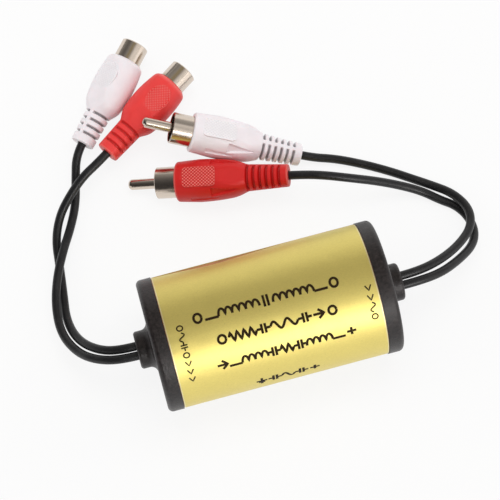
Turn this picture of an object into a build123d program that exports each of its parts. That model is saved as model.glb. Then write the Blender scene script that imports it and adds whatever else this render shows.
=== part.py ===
"""Ground loop isolator for two audio channels, in millimetres.

Two isolating transformers sit on a board inside a foil-wrapped tube.  A moulded cap closes
each end, and from each cap two cords leave side by side: to a pair of phono jacks at the
-X end and to a pair of phono plugs at the +X end.  The tube lies on its side along X, on the
floor z = 0, and the origin is on the floor under the middle of the tube.
"""
import math
import os

from build123d import *

os.makedirs("parts", exist_ok=True)

# Tube, foil and caps
CAP_D = 39.0
BODY_LENGTH = 70.0
CAP_FLANGE = 4.6
CAP_EDGE_R = 1.5
FOIL_SET_BACK = 0.2
FOIL_T = 0.2
FOIL_END_GAP = 0.15
FOIL_GLUE = 0.05
FOIL_SEAM = 1.4
FOIL_SEAM_ANGLE = 8.0
TUBE_WALL = 1.5
SPIGOT_WALL = 1.6
SPIGOT_LENGTH = 6.0
SPIGOT_CLEARANCE = 0.1

# Cord spout moulded on each cap
SPOUT_D = 11.0
SPOUT_LENGTH = 4.4
SPOUT_ROOT_R = 2.0
SPOUT_EDGE_R = 0.9

# Cords
CORD_D = 2.6
CORD_PITCH = 2.8
SOCKET_DEPTH = 0.8
SOCKET_CLEARANCE = 0.2
EXIT_RUN = 6.0
TAIL_RUN = 4.6
ARC_SHARE = 0.45

# Board held between the caps
BOARD_T = 1.6
BOARD_DROP = 7.5
BOARD_SIDE_GAP = 0.6
BOARD_CLEARANCE = 0.05
BOARD_SEAT = 4.0
BOARD_RAIL = 1.8

# Transformers: laminated core, bobbin with two winding rooms, and terminals
CORE_LEG = 4.5
CORE_STACK = 5.0
CORE_WINDOW_L = 9.6
CORE_WINDOW_W = 3.6
BOBBIN_WALL = 0.6
BOBBIN_RISE = 3.4
BOBBIN_CLEARANCE = 0.05
BOBBIN_FOOT_L = 1.65
WINDING_T = 2.0
WINDING_CORNER_R = 1.8
TERMINAL_D = 0.7
TERMINAL_REACH = 2.0

# Inner leads between the cords and the board
LEAD_D = 0.9
LEAD_COUNT = 4
LEAD_PITCH = 1.5
LEAD_GAP = 1.6
LEAD_BEND = 3.0
LEAD_CLEARANCE = 1.8

# Boots on the plugs
PLUG_BOOT_L = 33.9
PLUG_TAIL_D = 6.7
PLUG_NECK_L = 12.6
PLUG_NECK_D = 8.1
PLUG_HIP_X = 17.5
PLUG_HIP_D = 11.5
PLUG_BELLY_X = 27.0
PLUG_BELLY_D = 12.8
PLUG_FRONT_D = 12.0
PLUG_FRONT_R = 0.8
PLUG_SLOTS = 6
PLUG_SLOT_START = 2.3
PLUG_SLOT_PITCH = 1.9
PLUG_SLOT_W = 0.7

# Boots on the jacks
JACK_BOOT_L = 28.6
JACK_TAIL_D = 7.1
JACK_NECK_L = 10.2
JACK_NECK_D = 7.7
JACK_SHOULDER_L = 2.6
JACK_SHOULDER_D = 11.0
JACK_BELLY_X = 20.0
JACK_BELLY_D = 12.5
JACK_FRONT_D = 11.4
JACK_FRONT_R = 1.6
JACK_SLOTS = 4
JACK_SLOT_START = 2.6
JACK_SLOT_PITCH = 2.25
JACK_SLOT_W = 0.65

# Details that both boots share
SLOT_DEPTH = 0.9
SLOT_RIB_ANGLE = 18.0
RAMP_RISE = 0.1
PLUG_PAD_L = 10.0
PLUG_PAD_W = 6.0
PLUG_PAD_CORNER_R = 1.2
PLUG_PAD_SUNK = 0.35
PLUG_PAD_BACK = 7.7
JACK_PAD_L = 9.0
JACK_PAD_W = 6.6
JACK_PAD_SUNK = 0.5
JACK_PAD_BACK = 7.0
GRIP_CUT_DEPTH = 0.45
GRIP_CUT_X = 18.8
GRIP_CUT_L = 8.0
GRIP_CUT_W = 3.0
GRIP_CUT_ANGLE = 50.0
SIDE_CUT_DEPTH = 0.35
SIDE_CUT_X = 25.0
SIDE_CUT_L = 8.5
SIDE_CUT_W = 1.6
SIDE_CUT_ANGLE = 72.0

# Metal and insulation of the plugs
COLLAR_D = 9.4
COLLAR_WALL = 0.5
COLLAR_OUT = 6.1
COLLAR_SEAT = 7.0
COLLAR_CHAMFER = 0.15
PLUG_DISC_BACK = 1.0
PIN_D = 3.2
PIN_OUT = 8.9
PIN_NOSE_R = 1.3
PIN_ROOT_D = 2.7

# Metal and insulation of the jacks
SHELL_D = 8.3
SHELL_WALL = 0.6
SHELL_OUT = 5.9
SHELL_SEAT = 9.0
SHELL_FLANGE_D = 9.0
SHELL_CHAMFER = 0.3
JACK_DISC_BACK = 0.5
CONTACT_D = 4.2
CONTACT_BORE = 3.3
CONTACT_BACK = 1.7
CONTACT_LIP_D = 3.8

# Where each connector lies: tail end (x, y), heading, nose-up pitch and roll in degrees, and how far
# its lowest point is off the floor where it leans on another
WHITE_JACK_AT = ((-39.67, 67.8), 47.7, 1.9, -25.0, 0.0)
RED_JACK_AT = ((-33.1, 62.54), 33.5, -0.9, 11.6, 1.3)
WHITE_PLUG_AT = ((22.72, 48.1), 156.1, 13.3, 10.5, 0.0)
RED_PLUG_AT = ((17.1, 40.49), 165.4, -11.4, -2.0, 0.2)

# Where the ribs between the slots lie, measured round the boot from the middle of the pad
RED_RIB_AT = 90.0
WHITE_RIB_AT = 0.0

# Cord routes between the straight stretch out of the cap and the one into the connector
WHITE_JACK_ROUTE = [
    (-51.6, 1.0, 17.0),
    (-56.6, 5.8, 11.2),
    (-59.8, 13.2, 6.8),
    (-59.4, 22.0, 5.0),
    (-56.9, 30.2, 4.9),
    (-53.2, 37.8, 4.2),
    (-49.3, 44.6, 2.2),
    (-46.2, 51.2, 1.6),
    (-44.3, 58.0, 3.6),
]
RED_JACK_ROUTE = [
    (-50.6, 4.0, 15.8),
    (-55.4, 9.4, 9.4),
    (-57.4, 17.0, 3.9),
    (-56.4, 25.6, 1.6),
    (-55.4, 34.2, 1.4),
    (-54.6, 42.2, 1.5),
    (-51.6, 48.8, 2.9),
    (-47.2, 53.2, 5.6),
    (-41.9, 57.4, 7.6),
]
WHITE_PLUG_ROUTE = [
    (52.2, 3.4, 16.4),
    (59.6, 7.2, 11.6),
    (65.6, 12.4, 7.8),
    (67.0, 18.6, 5.2),
    (63.9, 24.7, 3.2),
    (58.8, 29.0, 1.6),
    (53.0, 33.0, 1.4),
    (47.4, 36.8, 1.4),
    (40.6, 40.8, 1.4),
    (33.0, 44.6, 1.4),
]
RED_PLUG_ROUTE = [
    (51.8, -0.2, 16.6),
    (58.8, 3.2, 11.2),
    (64.6, 7.2, 6.1),
    (67.0, 11.8, 3.3),
    (66.5, 17.0, 1.8),
    (63.9, 21.3, 1.4),
    (60.0, 24.0, 1.4),
    (55.2, 27.9, 2.4),
    (49.2, 30.6, 5.2),
    (42.2, 32.9, 9.0),
    (34.4, 35.0, 12.6),
    (26.8, 37.5, 14.4),
]

# Sizes that follow from the ones above
AXIS_Z = CAP_D / 2
FOIL_R = CAP_D / 2 - FOIL_SET_BACK
TUBE_R = FOIL_R - FOIL_T - FOIL_GLUE
BORE_R = TUBE_R - TUBE_WALL
TUBE_LENGTH = BODY_LENGTH - 2 * CAP_FLANGE
SPIGOT_R = BORE_R - SPIGOT_CLEARANCE
BOARD_L = TUBE_LENGTH - 2 * (SPIGOT_LENGTH - BOARD_SEAT) - 2 * BOARD_CLEARANCE
BOARD_TOP = AXIS_Z - BOARD_DROP + BOARD_T / 2
BOARD_CHORD = math.sqrt((SPIGOT_R - SPIGOT_WALL) ** 2 - (BOARD_DROP + BOARD_T / 2) ** 2)
BOARD_W = 2 * (BOARD_CHORD - BOARD_SIDE_GAP)
CORD_R = CORD_D / 2
BOBBIN_L = CORE_WINDOW_L - 2 * BOBBIN_CLEARANCE
BOBBIN_W = CORE_LEG + 2 * (CORE_WINDOW_W - BOBBIN_CLEARANCE)
BOBBIN_H = CORE_STACK + 2 * BOBBIN_RISE
TRANSFORMER_Z = BOARD_TOP + BOBBIN_H / 2
CORE_L = CORE_WINDOW_L + CORE_LEG
LEAD_X = TUBE_LENGTH / 2 - SPIGOT_LENGTH - LEAD_GAP
TRANSFORMER_PITCH = 2 * (LEAD_X - LEAD_D / 2 - LEAD_CLEARANCE) - CORE_L
OVER = 1.0


def rod(radius, x0, x1):
    """A cylinder along X from x0 to x1."""
    return Pos((x0 + x1) / 2, 0, 0) * Rot(Y=90) * Cylinder(radius, x1 - x0)


def ring(outer, inner, x0, x1):
    """A tube along X from x0 to x1."""
    return rod(outer, x0, x1) - rod(inner, x0 - OVER, x1 + OVER)


def turned(*lines):
    """The solid turned about X from an outline that closes along the axis."""
    outline = Wire(lines)
    closing = Line(outline @ 1, outline @ 0)
    return revolve(make_face([*outline.edges(), closing]), Axis.X)


def pocket(outline, x, radius, depth, lean, turn):
    """A cutter for a flat recess of about that depth: its floor passes (x, radius), leans and lies at turn."""
    cutter = extrude(outline, 3 * depth)
    return Rot(X=turn) * Pos(x, 0, radius) * Rot(Y=lean) * cutter


def end_cap():
    """Moulded cap seen as the +X one: x = 0 is where its flange meets the tube."""
    face_x = CAP_FLANGE
    tip_x = CAP_FLANGE + SPOUT_LENGTH
    cap_r = CAP_D / 2
    spout_r = SPOUT_D / 2
    body = turned(
        Line((0, 0), (0, cap_r)),
        Line((0, cap_r), (face_x - CAP_EDGE_R, cap_r)),
        RadiusArc((face_x - CAP_EDGE_R, cap_r), (face_x, cap_r - CAP_EDGE_R), CAP_EDGE_R),
        Line((face_x, cap_r - CAP_EDGE_R), (face_x, spout_r + SPOUT_ROOT_R)),
        RadiusArc((face_x, spout_r + SPOUT_ROOT_R), (face_x + SPOUT_ROOT_R, spout_r), -SPOUT_ROOT_R),
        Line((face_x + SPOUT_ROOT_R, spout_r), (tip_x - SPOUT_EDGE_R, spout_r)),
        RadiusArc((tip_x - SPOUT_EDGE_R, spout_r), (tip_x, spout_r - SPOUT_EDGE_R), SPOUT_EDGE_R),
        Line((tip_x, spout_r - SPOUT_EDGE_R), (tip_x, 0)),
    )
    body += ring(SPIGOT_R, SPIGOT_R - SPIGOT_WALL, -SPIGOT_LENGTH, 0)
    body += board_rail()
    for y in (-CORD_PITCH / 2, CORD_PITCH / 2):
        body -= Pos(Y=y) * rod(CORD_R + SOCKET_CLEARANCE, tip_x - SOCKET_DEPTH, tip_x + OVER)
    return body


def board_rail():
    """Two ledges across the spigot with a slot between them for the end of the board."""
    height = BOARD_T + 2 * BOARD_CLEARANCE
    rail = Pos(-SPIGOT_LENGTH / 2, 0, -BOARD_DROP) * Box(
        SPIGOT_LENGTH, 2 * SPIGOT_R, height + 2 * BOARD_RAIL
    )
    rail = rail & rod(SPIGOT_R - SPIGOT_WALL / 2, -SPIGOT_LENGTH, 0)
    slot = Pos(-SPIGOT_LENGTH + BOARD_SEAT / 2, 0, -BOARD_DROP) * Box(
        BOARD_SEAT, BOARD_W + 2 * BOARD_CLEARANCE, height
    )
    return rail - slot


def case_tube():
    """Wound paper tube between the two cap flanges."""
    half = TUBE_LENGTH / 2
    return Pos(Z=AXIS_Z) * ring(TUBE_R, BORE_R, -half, half)


def foil_wrap():
    """Foil label round the tube, with a narrow gap where its two edges nearly meet."""
    half = TUBE_LENGTH / 2 - FOIL_END_GAP
    wrap = ring(FOIL_R, FOIL_R - FOIL_T, -half, half)
    gap = Pos(Y=FOIL_R) * Box(2 * half + OVER, TUBE_WALL, FOIL_SEAM)
    return Pos(Z=AXIS_Z) * (wrap - Rot(X=FOIL_SEAM_ANGLE) * gap)


def circuit_board():
    """Board that carries both transformers, drilled for their terminals."""
    board = Pos(0, 0, BOARD_TOP - BOARD_T / 2) * Box(BOARD_L, BOARD_W, BOARD_T)
    for x, y in [(s * TRANSFORMER_PITCH / 2 + x, y) for s in (-1, 1) for x, y in terminal_spots()]:
        board -= Pos(x, y, BOARD_TOP - BOARD_T / 2) * Cylinder(TERMINAL_D / 2, BOARD_T + OVER)
    return board


def terminal_spots():
    """The four terminals of a transformer, under the corners of its bobbin."""
    x = BOBBIN_L / 2 - BOBBIN_WALL - TERMINAL_D / 2
    y = BOBBIN_W / 2 - TERMINAL_D
    return [(sx * x, sy * y) for sx in (-1, 1) for sy in (-1, 1)]


def transformer_core():
    """Interleaved E and I laminations: a frame with a window each side of the middle leg."""
    width = 2 * CORE_LEG + 2 * CORE_WINDOW_W
    core = Box(CORE_L, width, CORE_STACK)
    for side in (-1, 1):
        core -= Pos(Y=side * (CORE_LEG + CORE_WINDOW_W) / 2) * Box(
            CORE_WINDOW_L, CORE_WINDOW_W, CORE_STACK + OVER
        )
    return core


def transformer_bobbin():
    """Nylon bobbin: a square tunnel with three cheeks and a foot under each end cheek."""
    tunnel_w = CORE_LEG + 2 * BOBBIN_CLEARANCE
    tunnel_h = CORE_STACK + 2 * BOBBIN_CLEARANCE
    bobbin = Box(BOBBIN_L, tunnel_w + 2 * BOBBIN_WALL, tunnel_h + 2 * BOBBIN_WALL)
    for x in (-(BOBBIN_L - BOBBIN_WALL) / 2, 0, (BOBBIN_L - BOBBIN_WALL) / 2):
        bobbin += Pos(X=x) * Box(BOBBIN_WALL, BOBBIN_W, BOBBIN_H)
    foot_h = BOBBIN_RISE - BOBBIN_CLEARANCE - BOBBIN_WALL - WINDING_T - BOBBIN_CLEARANCE
    for side in (-1, 1):
        bobbin += Pos(side * (BOBBIN_L - BOBBIN_FOOT_L) / 2, 0, (foot_h - BOBBIN_H) / 2) * Box(
            BOBBIN_FOOT_L, BOBBIN_W, foot_h
        )
    return bobbin - Box(BOBBIN_L + OVER, tunnel_w, tunnel_h)


def transformer_winding(side):
    """One wound room of the bobbin, between the middle cheek and an end cheek."""
    inner_w = CORE_LEG + 2 * BOBBIN_CLEARANCE + 2 * BOBBIN_WALL
    inner_h = CORE_STACK + 2 * BOBBIN_CLEARANCE + 2 * BOBBIN_WALL
    length = (BOBBIN_L - 3 * BOBBIN_WALL) / 2
    outer = RectangleRounded(inner_w + 2 * WINDING_T, inner_h + 2 * WINDING_T, WINDING_CORNER_R)
    coil = extrude(Plane.YZ * (outer - Rectangle(inner_w, inner_h)), length)
    return Pos(X=BOBBIN_WALL / 2 if side > 0 else -BOBBIN_WALL / 2 - length) * coil


def transformer_terminals():
    """Four wire terminals that hang from the bobbin's feet and pass through the board."""
    length = BOARD_T + TERMINAL_REACH
    pin = Cylinder(TERMINAL_D / 2, length)
    return [Pos(x, y, -BOBBIN_H / 2 - length / 2) * pin for x, y in terminal_spots()]


def inner_leads():
    """Four leads from the +X cap to the board, two for each cord."""
    start_x = TUBE_LENGTH / 2
    leads = []
    for y in [(i - (LEAD_COUNT - 1) / 2) * LEAD_PITCH for i in range(LEAD_COUNT)]:
        path = FilletPolyline(
            (start_x, y, AXIS_Z), (LEAD_X, y, AXIS_Z), (LEAD_X, y, BOARD_TOP), radius=LEAD_BEND
        )
        leads.append(sweep(Plane(path @ 0, z_dir=path % 0) * Circle(LEAD_D / 2), path=path))
    return leads


def slot_cutters(tail_d, neck_d, neck_l, count, start, pitch, width, rib_at):
    """Flex slots round the boot's tail, each broken by two ribs."""
    cutters = []
    sweep_angle = 180 - SLOT_RIB_ANGLE
    for i in range(count):
        x = start + i * pitch
        surface = tail_d / 2 + (neck_d - tail_d) / 2 * x / neck_l
        slot = Pos(x + width / 2, surface + (OVER - SLOT_DEPTH) / 2) * Rectangle(width, SLOT_DEPTH + OVER)
        arc = revolve(slot, Axis.X, revolution_arc=sweep_angle)
        first = rib_at + SLOT_RIB_ANGLE / 2 + 90
        cutters += [Rot(X=first + half) * arc for half in (0, 180)]
    return cutters


def grip_cutters():
    """Wedge-shaped finger recesses behind a plug's pads and long facets beside them."""
    heel_x, wide_x = GRIP_CUT_X - GRIP_CUT_L / 2, GRIP_CUT_X + GRIP_CUT_L / 2
    heel_share = (heel_x - PLUG_NECK_L) / (PLUG_HIP_X - PLUG_NECK_L)
    wide_share = (wide_x - PLUG_HIP_X) / (PLUG_BELLY_X - PLUG_HIP_X)
    heel_r = (PLUG_NECK_D + (PLUG_HIP_D - PLUG_NECK_D) * heel_share) / 2
    wide_r = (PLUG_HIP_D + (PLUG_BELLY_D - PLUG_HIP_D) * wide_share) / 2 - GRIP_CUT_DEPTH
    lean = -math.degrees(math.atan2(wide_r - heel_r, GRIP_CUT_L))
    wedge = make_face(
        Polyline((GRIP_CUT_L / 2, -GRIP_CUT_W / 2), (GRIP_CUT_L / 2, GRIP_CUT_W / 2),
                 (-GRIP_CUT_L / 2, 0), close=True)
    )
    facet = Rectangle(SIDE_CUT_L, SIDE_CUT_W)
    cutters = []
    for turn in (GRIP_CUT_ANGLE, -GRIP_CUT_ANGLE, 180 - GRIP_CUT_ANGLE, 180 + GRIP_CUT_ANGLE):
        cutters.append(pocket(wedge, GRIP_CUT_X, (heel_r + wide_r) / 2, GRIP_CUT_DEPTH, lean, turn))
    for turn in (SIDE_CUT_ANGLE, -SIDE_CUT_ANGLE, 180 - SIDE_CUT_ANGLE, 180 + SIDE_CUT_ANGLE):
        cutters.append(pocket(facet, SIDE_CUT_X, PLUG_BELLY_D / 2 - SIDE_CUT_DEPTH, SIDE_CUT_DEPTH, 0, turn))
    return cutters


def with_pads(boot, level, pad_x, pad, neck):
    """Flatten both sides of the grip, ramp each flat down to the neck and raise a pad on it."""
    size = pad.bounding_box().size
    neck_x, neck_r = neck
    back_x, front_x = pad_x - size.X / 2, pad_x + size.X / 2
    top = level + 2 * OVER
    side = Polyline((neck_x, neck_r + RAMP_RISE), (back_x, level), (front_x, level), (front_x, top),
                    (neck_x, top), close=True)
    cut = extrude(Plane.XZ * make_face(side), size.Y / 2, both=True)
    for turn in (0, 180):
        boot -= Rot(X=turn) * cut
        boot += Rot(X=turn) * (Pos(pad_x, 0, level - OVER) * extrude(pad, OVER))
    return boot


def plug_boot(rib_at):
    """Moulded boot of a plug: slotted tail, swelling grip with pads, and a bore for the collar."""
    nose = PLUG_BOOT_L - PLUG_FRONT_R
    back = TangentArc((PLUG_BELLY_X, PLUG_BELLY_D / 2), (PLUG_HIP_X, PLUG_HIP_D / 2), tangent=(-1, 0))
    hip = TangentArc(back @ 1, (PLUG_NECK_L, PLUG_NECK_D / 2), tangent=back % 1)
    boot = turned(
        Line((0, 0), (0, PLUG_TAIL_D / 2)),
        Line((0, PLUG_TAIL_D / 2), (PLUG_NECK_L, PLUG_NECK_D / 2)),
        hip,
        back,
        Line((PLUG_BELLY_X, PLUG_BELLY_D / 2), (nose, PLUG_FRONT_D / 2)),
        RadiusArc((nose, PLUG_FRONT_D / 2), (PLUG_BOOT_L, PLUG_FRONT_D / 2 - PLUG_FRONT_R), PLUG_FRONT_R),
        Line((PLUG_BOOT_L, PLUG_FRONT_D / 2 - PLUG_FRONT_R), (PLUG_BOOT_L, 0)),
    )
    pad_x = PLUG_BOOT_L - PLUG_PAD_BACK
    pad = RectangleRounded(PLUG_PAD_L, PLUG_PAD_W, PLUG_PAD_CORNER_R)
    level = PLUG_BELLY_D / 2 - PLUG_PAD_SUNK
    boot = with_pads(boot, level, pad_x, pad, (PLUG_NECK_L, PLUG_NECK_D / 2))
    boot -= slot_cutters(PLUG_TAIL_D, PLUG_NECK_D, PLUG_NECK_L, PLUG_SLOTS,
                         PLUG_SLOT_START, PLUG_SLOT_PITCH, PLUG_SLOT_W, rib_at)
    boot -= grip_cutters()
    boot -= rod(COLLAR_D / 2, PLUG_BOOT_L - COLLAR_SEAT, PLUG_BOOT_L + OVER)
    return boot - rod(CORD_R + SOCKET_CLEARANCE, -OVER, SOCKET_DEPTH)


def jack_boot(rib_at):
    """Moulded boot of a jack: shorter slotted tail, a sharp shoulder and oval pads."""
    nose = JACK_BOOT_L - JACK_FRONT_R
    shoulder_x = JACK_NECK_L + JACK_SHOULDER_L
    shoulder = (shoulder_x, JACK_SHOULDER_D / 2)
    front = (nose, JACK_FRONT_D / 2)
    boot = turned(
        Line((0, 0), (0, JACK_TAIL_D / 2)),
        Line((0, JACK_TAIL_D / 2), (JACK_NECK_L, JACK_NECK_D / 2)),
        Line((JACK_NECK_L, JACK_NECK_D / 2), shoulder),
        TangentArc((JACK_BELLY_X, JACK_BELLY_D / 2), shoulder, tangent=(-1, 0)),
        TangentArc((JACK_BELLY_X, JACK_BELLY_D / 2), front, tangent=(1, 0)),
        RadiusArc(front, (JACK_BOOT_L, JACK_FRONT_D / 2 - JACK_FRONT_R), JACK_FRONT_R),
        Line((JACK_BOOT_L, JACK_FRONT_D / 2 - JACK_FRONT_R), (JACK_BOOT_L, 0)),
    )
    pad_x = JACK_BOOT_L - JACK_PAD_BACK
    pad = Ellipse(JACK_PAD_L / 2, JACK_PAD_W / 2)
    level = JACK_BELLY_D / 2 - JACK_PAD_SUNK
    boot = with_pads(boot, level, pad_x, pad, (JACK_NECK_L, JACK_NECK_D / 2))
    boot -= slot_cutters(JACK_TAIL_D, JACK_NECK_D, JACK_NECK_L, JACK_SLOTS,
                         JACK_SLOT_START, JACK_SLOT_PITCH, JACK_SLOT_W, rib_at)
    boot -= rod(SHELL_FLANGE_D / 2, JACK_BOOT_L - SHELL_SEAT, JACK_BOOT_L + OVER)
    return boot - rod(CORD_R + SOCKET_CLEARANCE, -OVER, SOCKET_DEPTH)


def plug_collar():
    """Ground ring of a plug, open at the front."""
    collar = ring(COLLAR_D / 2, COLLAR_D / 2 - COLLAR_WALL,
                  PLUG_BOOT_L - COLLAR_SEAT, PLUG_BOOT_L + COLLAR_OUT)
    rim = collar.edges().filter_by(GeomType.CIRCLE).group_by(Axis.X)[-1]
    return chamfer(rim, COLLAR_CHAMFER)


def plug_insulator():
    """Insulating disc that fills the collar's seat and holds the pin."""
    x0 = PLUG_BOOT_L - COLLAR_SEAT
    return ring(COLLAR_D / 2 - COLLAR_WALL, PIN_ROOT_D / 2, x0, PLUG_BOOT_L - PLUG_DISC_BACK)


def plug_pin():
    """Centre pin with a thinner root in the disc and a rounded nose."""
    x0 = PLUG_BOOT_L - PLUG_DISC_BACK
    x1 = PLUG_BOOT_L + COLLAR_OUT + PIN_OUT
    pin = rod(PIN_D / 2, x0, x1)
    pin = fillet(pin.edges().filter_by(GeomType.CIRCLE).sort_by(Axis.X)[-1], PIN_NOSE_R)
    return pin + rod(PIN_ROOT_D / 2, PLUG_BOOT_L - COLLAR_SEAT, x0)


def jack_shell():
    """Ground shell of a jack: a barrel with a seat flange inside the boot."""
    shell = rod(SHELL_D / 2, JACK_BOOT_L, JACK_BOOT_L + SHELL_OUT)
    rim = shell.edges().filter_by(GeomType.CIRCLE).sort_by(Axis.X)[-1]
    shell = chamfer(rim, SHELL_CHAMFER) + rod(SHELL_FLANGE_D / 2, JACK_BOOT_L - SHELL_SEAT, JACK_BOOT_L)
    bore = rod(SHELL_D / 2 - SHELL_WALL, JACK_BOOT_L - SHELL_SEAT - OVER, JACK_BOOT_L + SHELL_OUT + OVER)
    return shell - bore


def jack_insulator():
    """Insulator inside the shell, with a lip that keeps the contact in."""
    x0 = JACK_BOOT_L - SHELL_SEAT
    x1 = JACK_BOOT_L + SHELL_OUT - JACK_DISC_BACK
    lip_x = JACK_BOOT_L + SHELL_OUT - CONTACT_BACK
    body = ring(SHELL_D / 2 - SHELL_WALL, CONTACT_LIP_D / 2, x0, x1)
    return body - rod(CONTACT_D / 2, x0 - OVER, lip_x)


def jack_contact():
    """Sleeve contact that takes the centre pin of a plug."""
    return ring(CONTACT_D / 2, CONTACT_BORE / 2, JACK_BOOT_L - SHELL_SEAT, JACK_BOOT_L + SHELL_OUT - CONTACT_BACK)


def placement(pieces, at):
    """Where a connector lies: turned as stated, then let down to its height off the floor."""
    (x, y), heading, pitch, roll, lift = at
    turn = Pos(x, y, 0) * Rot(Z=heading) * Rot(Y=-pitch) * Rot(X=roll)
    lowest = min((turn * piece).bounding_box().min.Z for piece in pieces.values())
    return Pos(Z=lift - lowest) * turn


def corner_radii(points):
    """The arc for each corner: a share of its shorter run over the tangent of half the turn."""
    radii = []
    for a, b, c in zip(points, points[1:], points[2:]):
        run_in, run_out = Vector(b) - Vector(a), Vector(c) - Vector(b)
        half_turn = math.radians(run_in.get_angle(run_out)) / 2
        radii.append(ARC_SHARE * min(run_in.length, run_out.length) / math.tan(half_turn))
    return radii


def cord(name, cap_sign, cord_y, route, at):
    """A round cord from its socket in a cap to the socket in its connector's tail."""
    cap_x = BODY_LENGTH / 2 + SPOUT_LENGTH - SOCKET_DEPTH
    cap_end = [(cap_sign * x, cord_y, AXIS_Z) for x in (cap_x, cap_x + EXIT_RUN)]
    tail_end = [tuple((at * Pos(X=x)).position) for x in (SOCKET_DEPTH - TAIL_RUN, SOCKET_DEPTH)]
    points = [*cap_end, *route, *tail_end]
    radii = corner_radii(points)
    path = FilletPolyline(*points, radius=radii)
    tube = sweep(Plane(path @ 0, z_dir=path % 0) * Circle(CORD_R), path=path)
    runs = [(Vector(b) - Vector(a)).length for a, b in zip(points, points[1:])]
    share = tube.volume / (math.pi * CORD_R**2 * path.length)
    print(name, "length", round(path.length, 1), "runs", [round(r, 1) for r in runs],
          "radii", [round(r, 1) for r in radii], "volume share", round(share, 4))
    print(name, "ends", [tuple(round(c, 2) for c in p) for p in cap_end + tail_end])
    return tube


def jack_pieces(rib_at):
    """The four pieces of a jack, in its own frame with the tail at the origin."""
    return {"boot": jack_boot(rib_at), "shell": jack_shell(),
            "insulator": jack_insulator(), "contact": jack_contact()}


def plug_pieces(rib_at):
    """The four pieces of a plug, in its own frame with the tail at the origin."""
    return {"boot": plug_boot(rib_at), "collar": plug_collar(),
            "insulator": plug_insulator(), "pin": plug_pin()}


def case_nodes():
    """The tube, its foil, the caps, the board and the inner leads."""
    cap = end_cap()
    at_end = Pos(TUBE_LENGTH / 2, 0, AXIS_Z)
    leads = inner_leads()
    return {
        "case_tube": case_tube(),
        "foil_wrap": foil_wrap(),
        "plug_end_cap": at_end * cap,
        "jack_end_cap": mirror(at_end * cap, Plane.YZ),
        "circuit_board": circuit_board(),
        "plug_end_leads": leads,
        "jack_end_leads": [mirror(lead, Plane.YZ) for lead in leads],
    }


def transformer_nodes(name, x):
    """One channel's transformer, standing on the board at x."""
    at = Pos(x, 0, TRANSFORMER_Z)
    return {
        f"{name}_core": at * transformer_core(),
        f"{name}_bobbin": at * transformer_bobbin(),
        f"{name}_primary_winding": at * transformer_winding(-1),
        f"{name}_secondary_winding": at * transformer_winding(1),
        f"{name}_terminals": [at * pin for pin in transformer_terminals()],
    }


CONNECTORS = {
    "white_jack": (jack_pieces, WHITE_RIB_AT, WHITE_JACK_AT),
    "red_jack": (jack_pieces, RED_RIB_AT, RED_JACK_AT),
    "white_plug": (plug_pieces, WHITE_RIB_AT, WHITE_PLUG_AT),
    "red_plug": (plug_pieces, RED_RIB_AT, RED_PLUG_AT),
}
CORDS = {
    "white_jack": (-1, -CORD_PITCH / 2, WHITE_JACK_ROUTE),
    "red_jack": (-1, CORD_PITCH / 2, RED_JACK_ROUTE),
    "white_plug": (1, CORD_PITCH / 2, WHITE_PLUG_ROUTE),
    "red_plug": (1, -CORD_PITCH / 2, RED_PLUG_ROUTE),
}

nodes = case_nodes()
nodes.update(transformer_nodes("left_transformer", -TRANSFORMER_PITCH / 2))
nodes.update(transformer_nodes("right_transformer", TRANSFORMER_PITCH / 2))
placements = {}
for name, (make, rib_at, where) in CONNECTORS.items():
    pieces = make(rib_at)
    placements[name] = placement(pieces, where)
    for piece_name, piece in pieces.items():
        nodes[f"{name}_{piece_name}"] = placements[name] * piece
    nodes[f"{name}_cord"] = cord(f"{name}_cord", *CORDS[name], placements[name])

for name, shape in nodes.items():
    pieces = shape if isinstance(shape, list) else [shape]
    solids = [solid for piece in pieces for solid in piece.solids()]
    export_step(Compound(children=solids), f"parts/{name}.step")
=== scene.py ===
"""Looks of a ground loop isolator, laid out as an add-on with one operator per group of pieces.

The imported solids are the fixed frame.  Caps, tube, board, transformers and all metal keep their
solids and get finishes here.  The boots, the foil with its print and the cords are modelled.
Lengths are metres unless a name ends in MM or mm; angles are degrees unless a comment says radians.
"""
import math

import bmesh
import bpy
import numpy as np
from bpy.props import FloatProperty, FloatVectorProperty, IntProperty, PointerProperty
from mathutils import Matrix, Vector


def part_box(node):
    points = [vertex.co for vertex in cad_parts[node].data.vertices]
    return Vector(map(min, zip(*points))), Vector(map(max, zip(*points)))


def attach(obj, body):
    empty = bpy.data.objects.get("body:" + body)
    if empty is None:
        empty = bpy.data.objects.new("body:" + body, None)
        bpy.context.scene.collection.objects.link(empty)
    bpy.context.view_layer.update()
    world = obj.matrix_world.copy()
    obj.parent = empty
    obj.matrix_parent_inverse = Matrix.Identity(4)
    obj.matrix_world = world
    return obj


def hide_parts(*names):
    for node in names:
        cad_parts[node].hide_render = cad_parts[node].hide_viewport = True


bl_info = {
    "name": "Ground loop isolator",
    "version": (1, 0, 0),
    "blender": (4, 5, 0),
    "location": "View3D > Sidebar > Isolator",
    "description": "Builds the visual model of a two-channel ground loop isolator round its solids",
    "category": "Object",
}

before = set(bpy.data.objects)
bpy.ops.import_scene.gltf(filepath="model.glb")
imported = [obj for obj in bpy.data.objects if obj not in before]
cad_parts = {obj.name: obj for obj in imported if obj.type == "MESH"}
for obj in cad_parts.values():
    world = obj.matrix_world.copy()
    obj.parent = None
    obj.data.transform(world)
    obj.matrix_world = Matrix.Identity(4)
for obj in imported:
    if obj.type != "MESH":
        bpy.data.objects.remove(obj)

MM = 0.001
# A texture's stretch along the axes where it has none
EVEN = (1.0, 1.0, 1.0)
BODY = "root"
COLOURS = ("white", "red")

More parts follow.
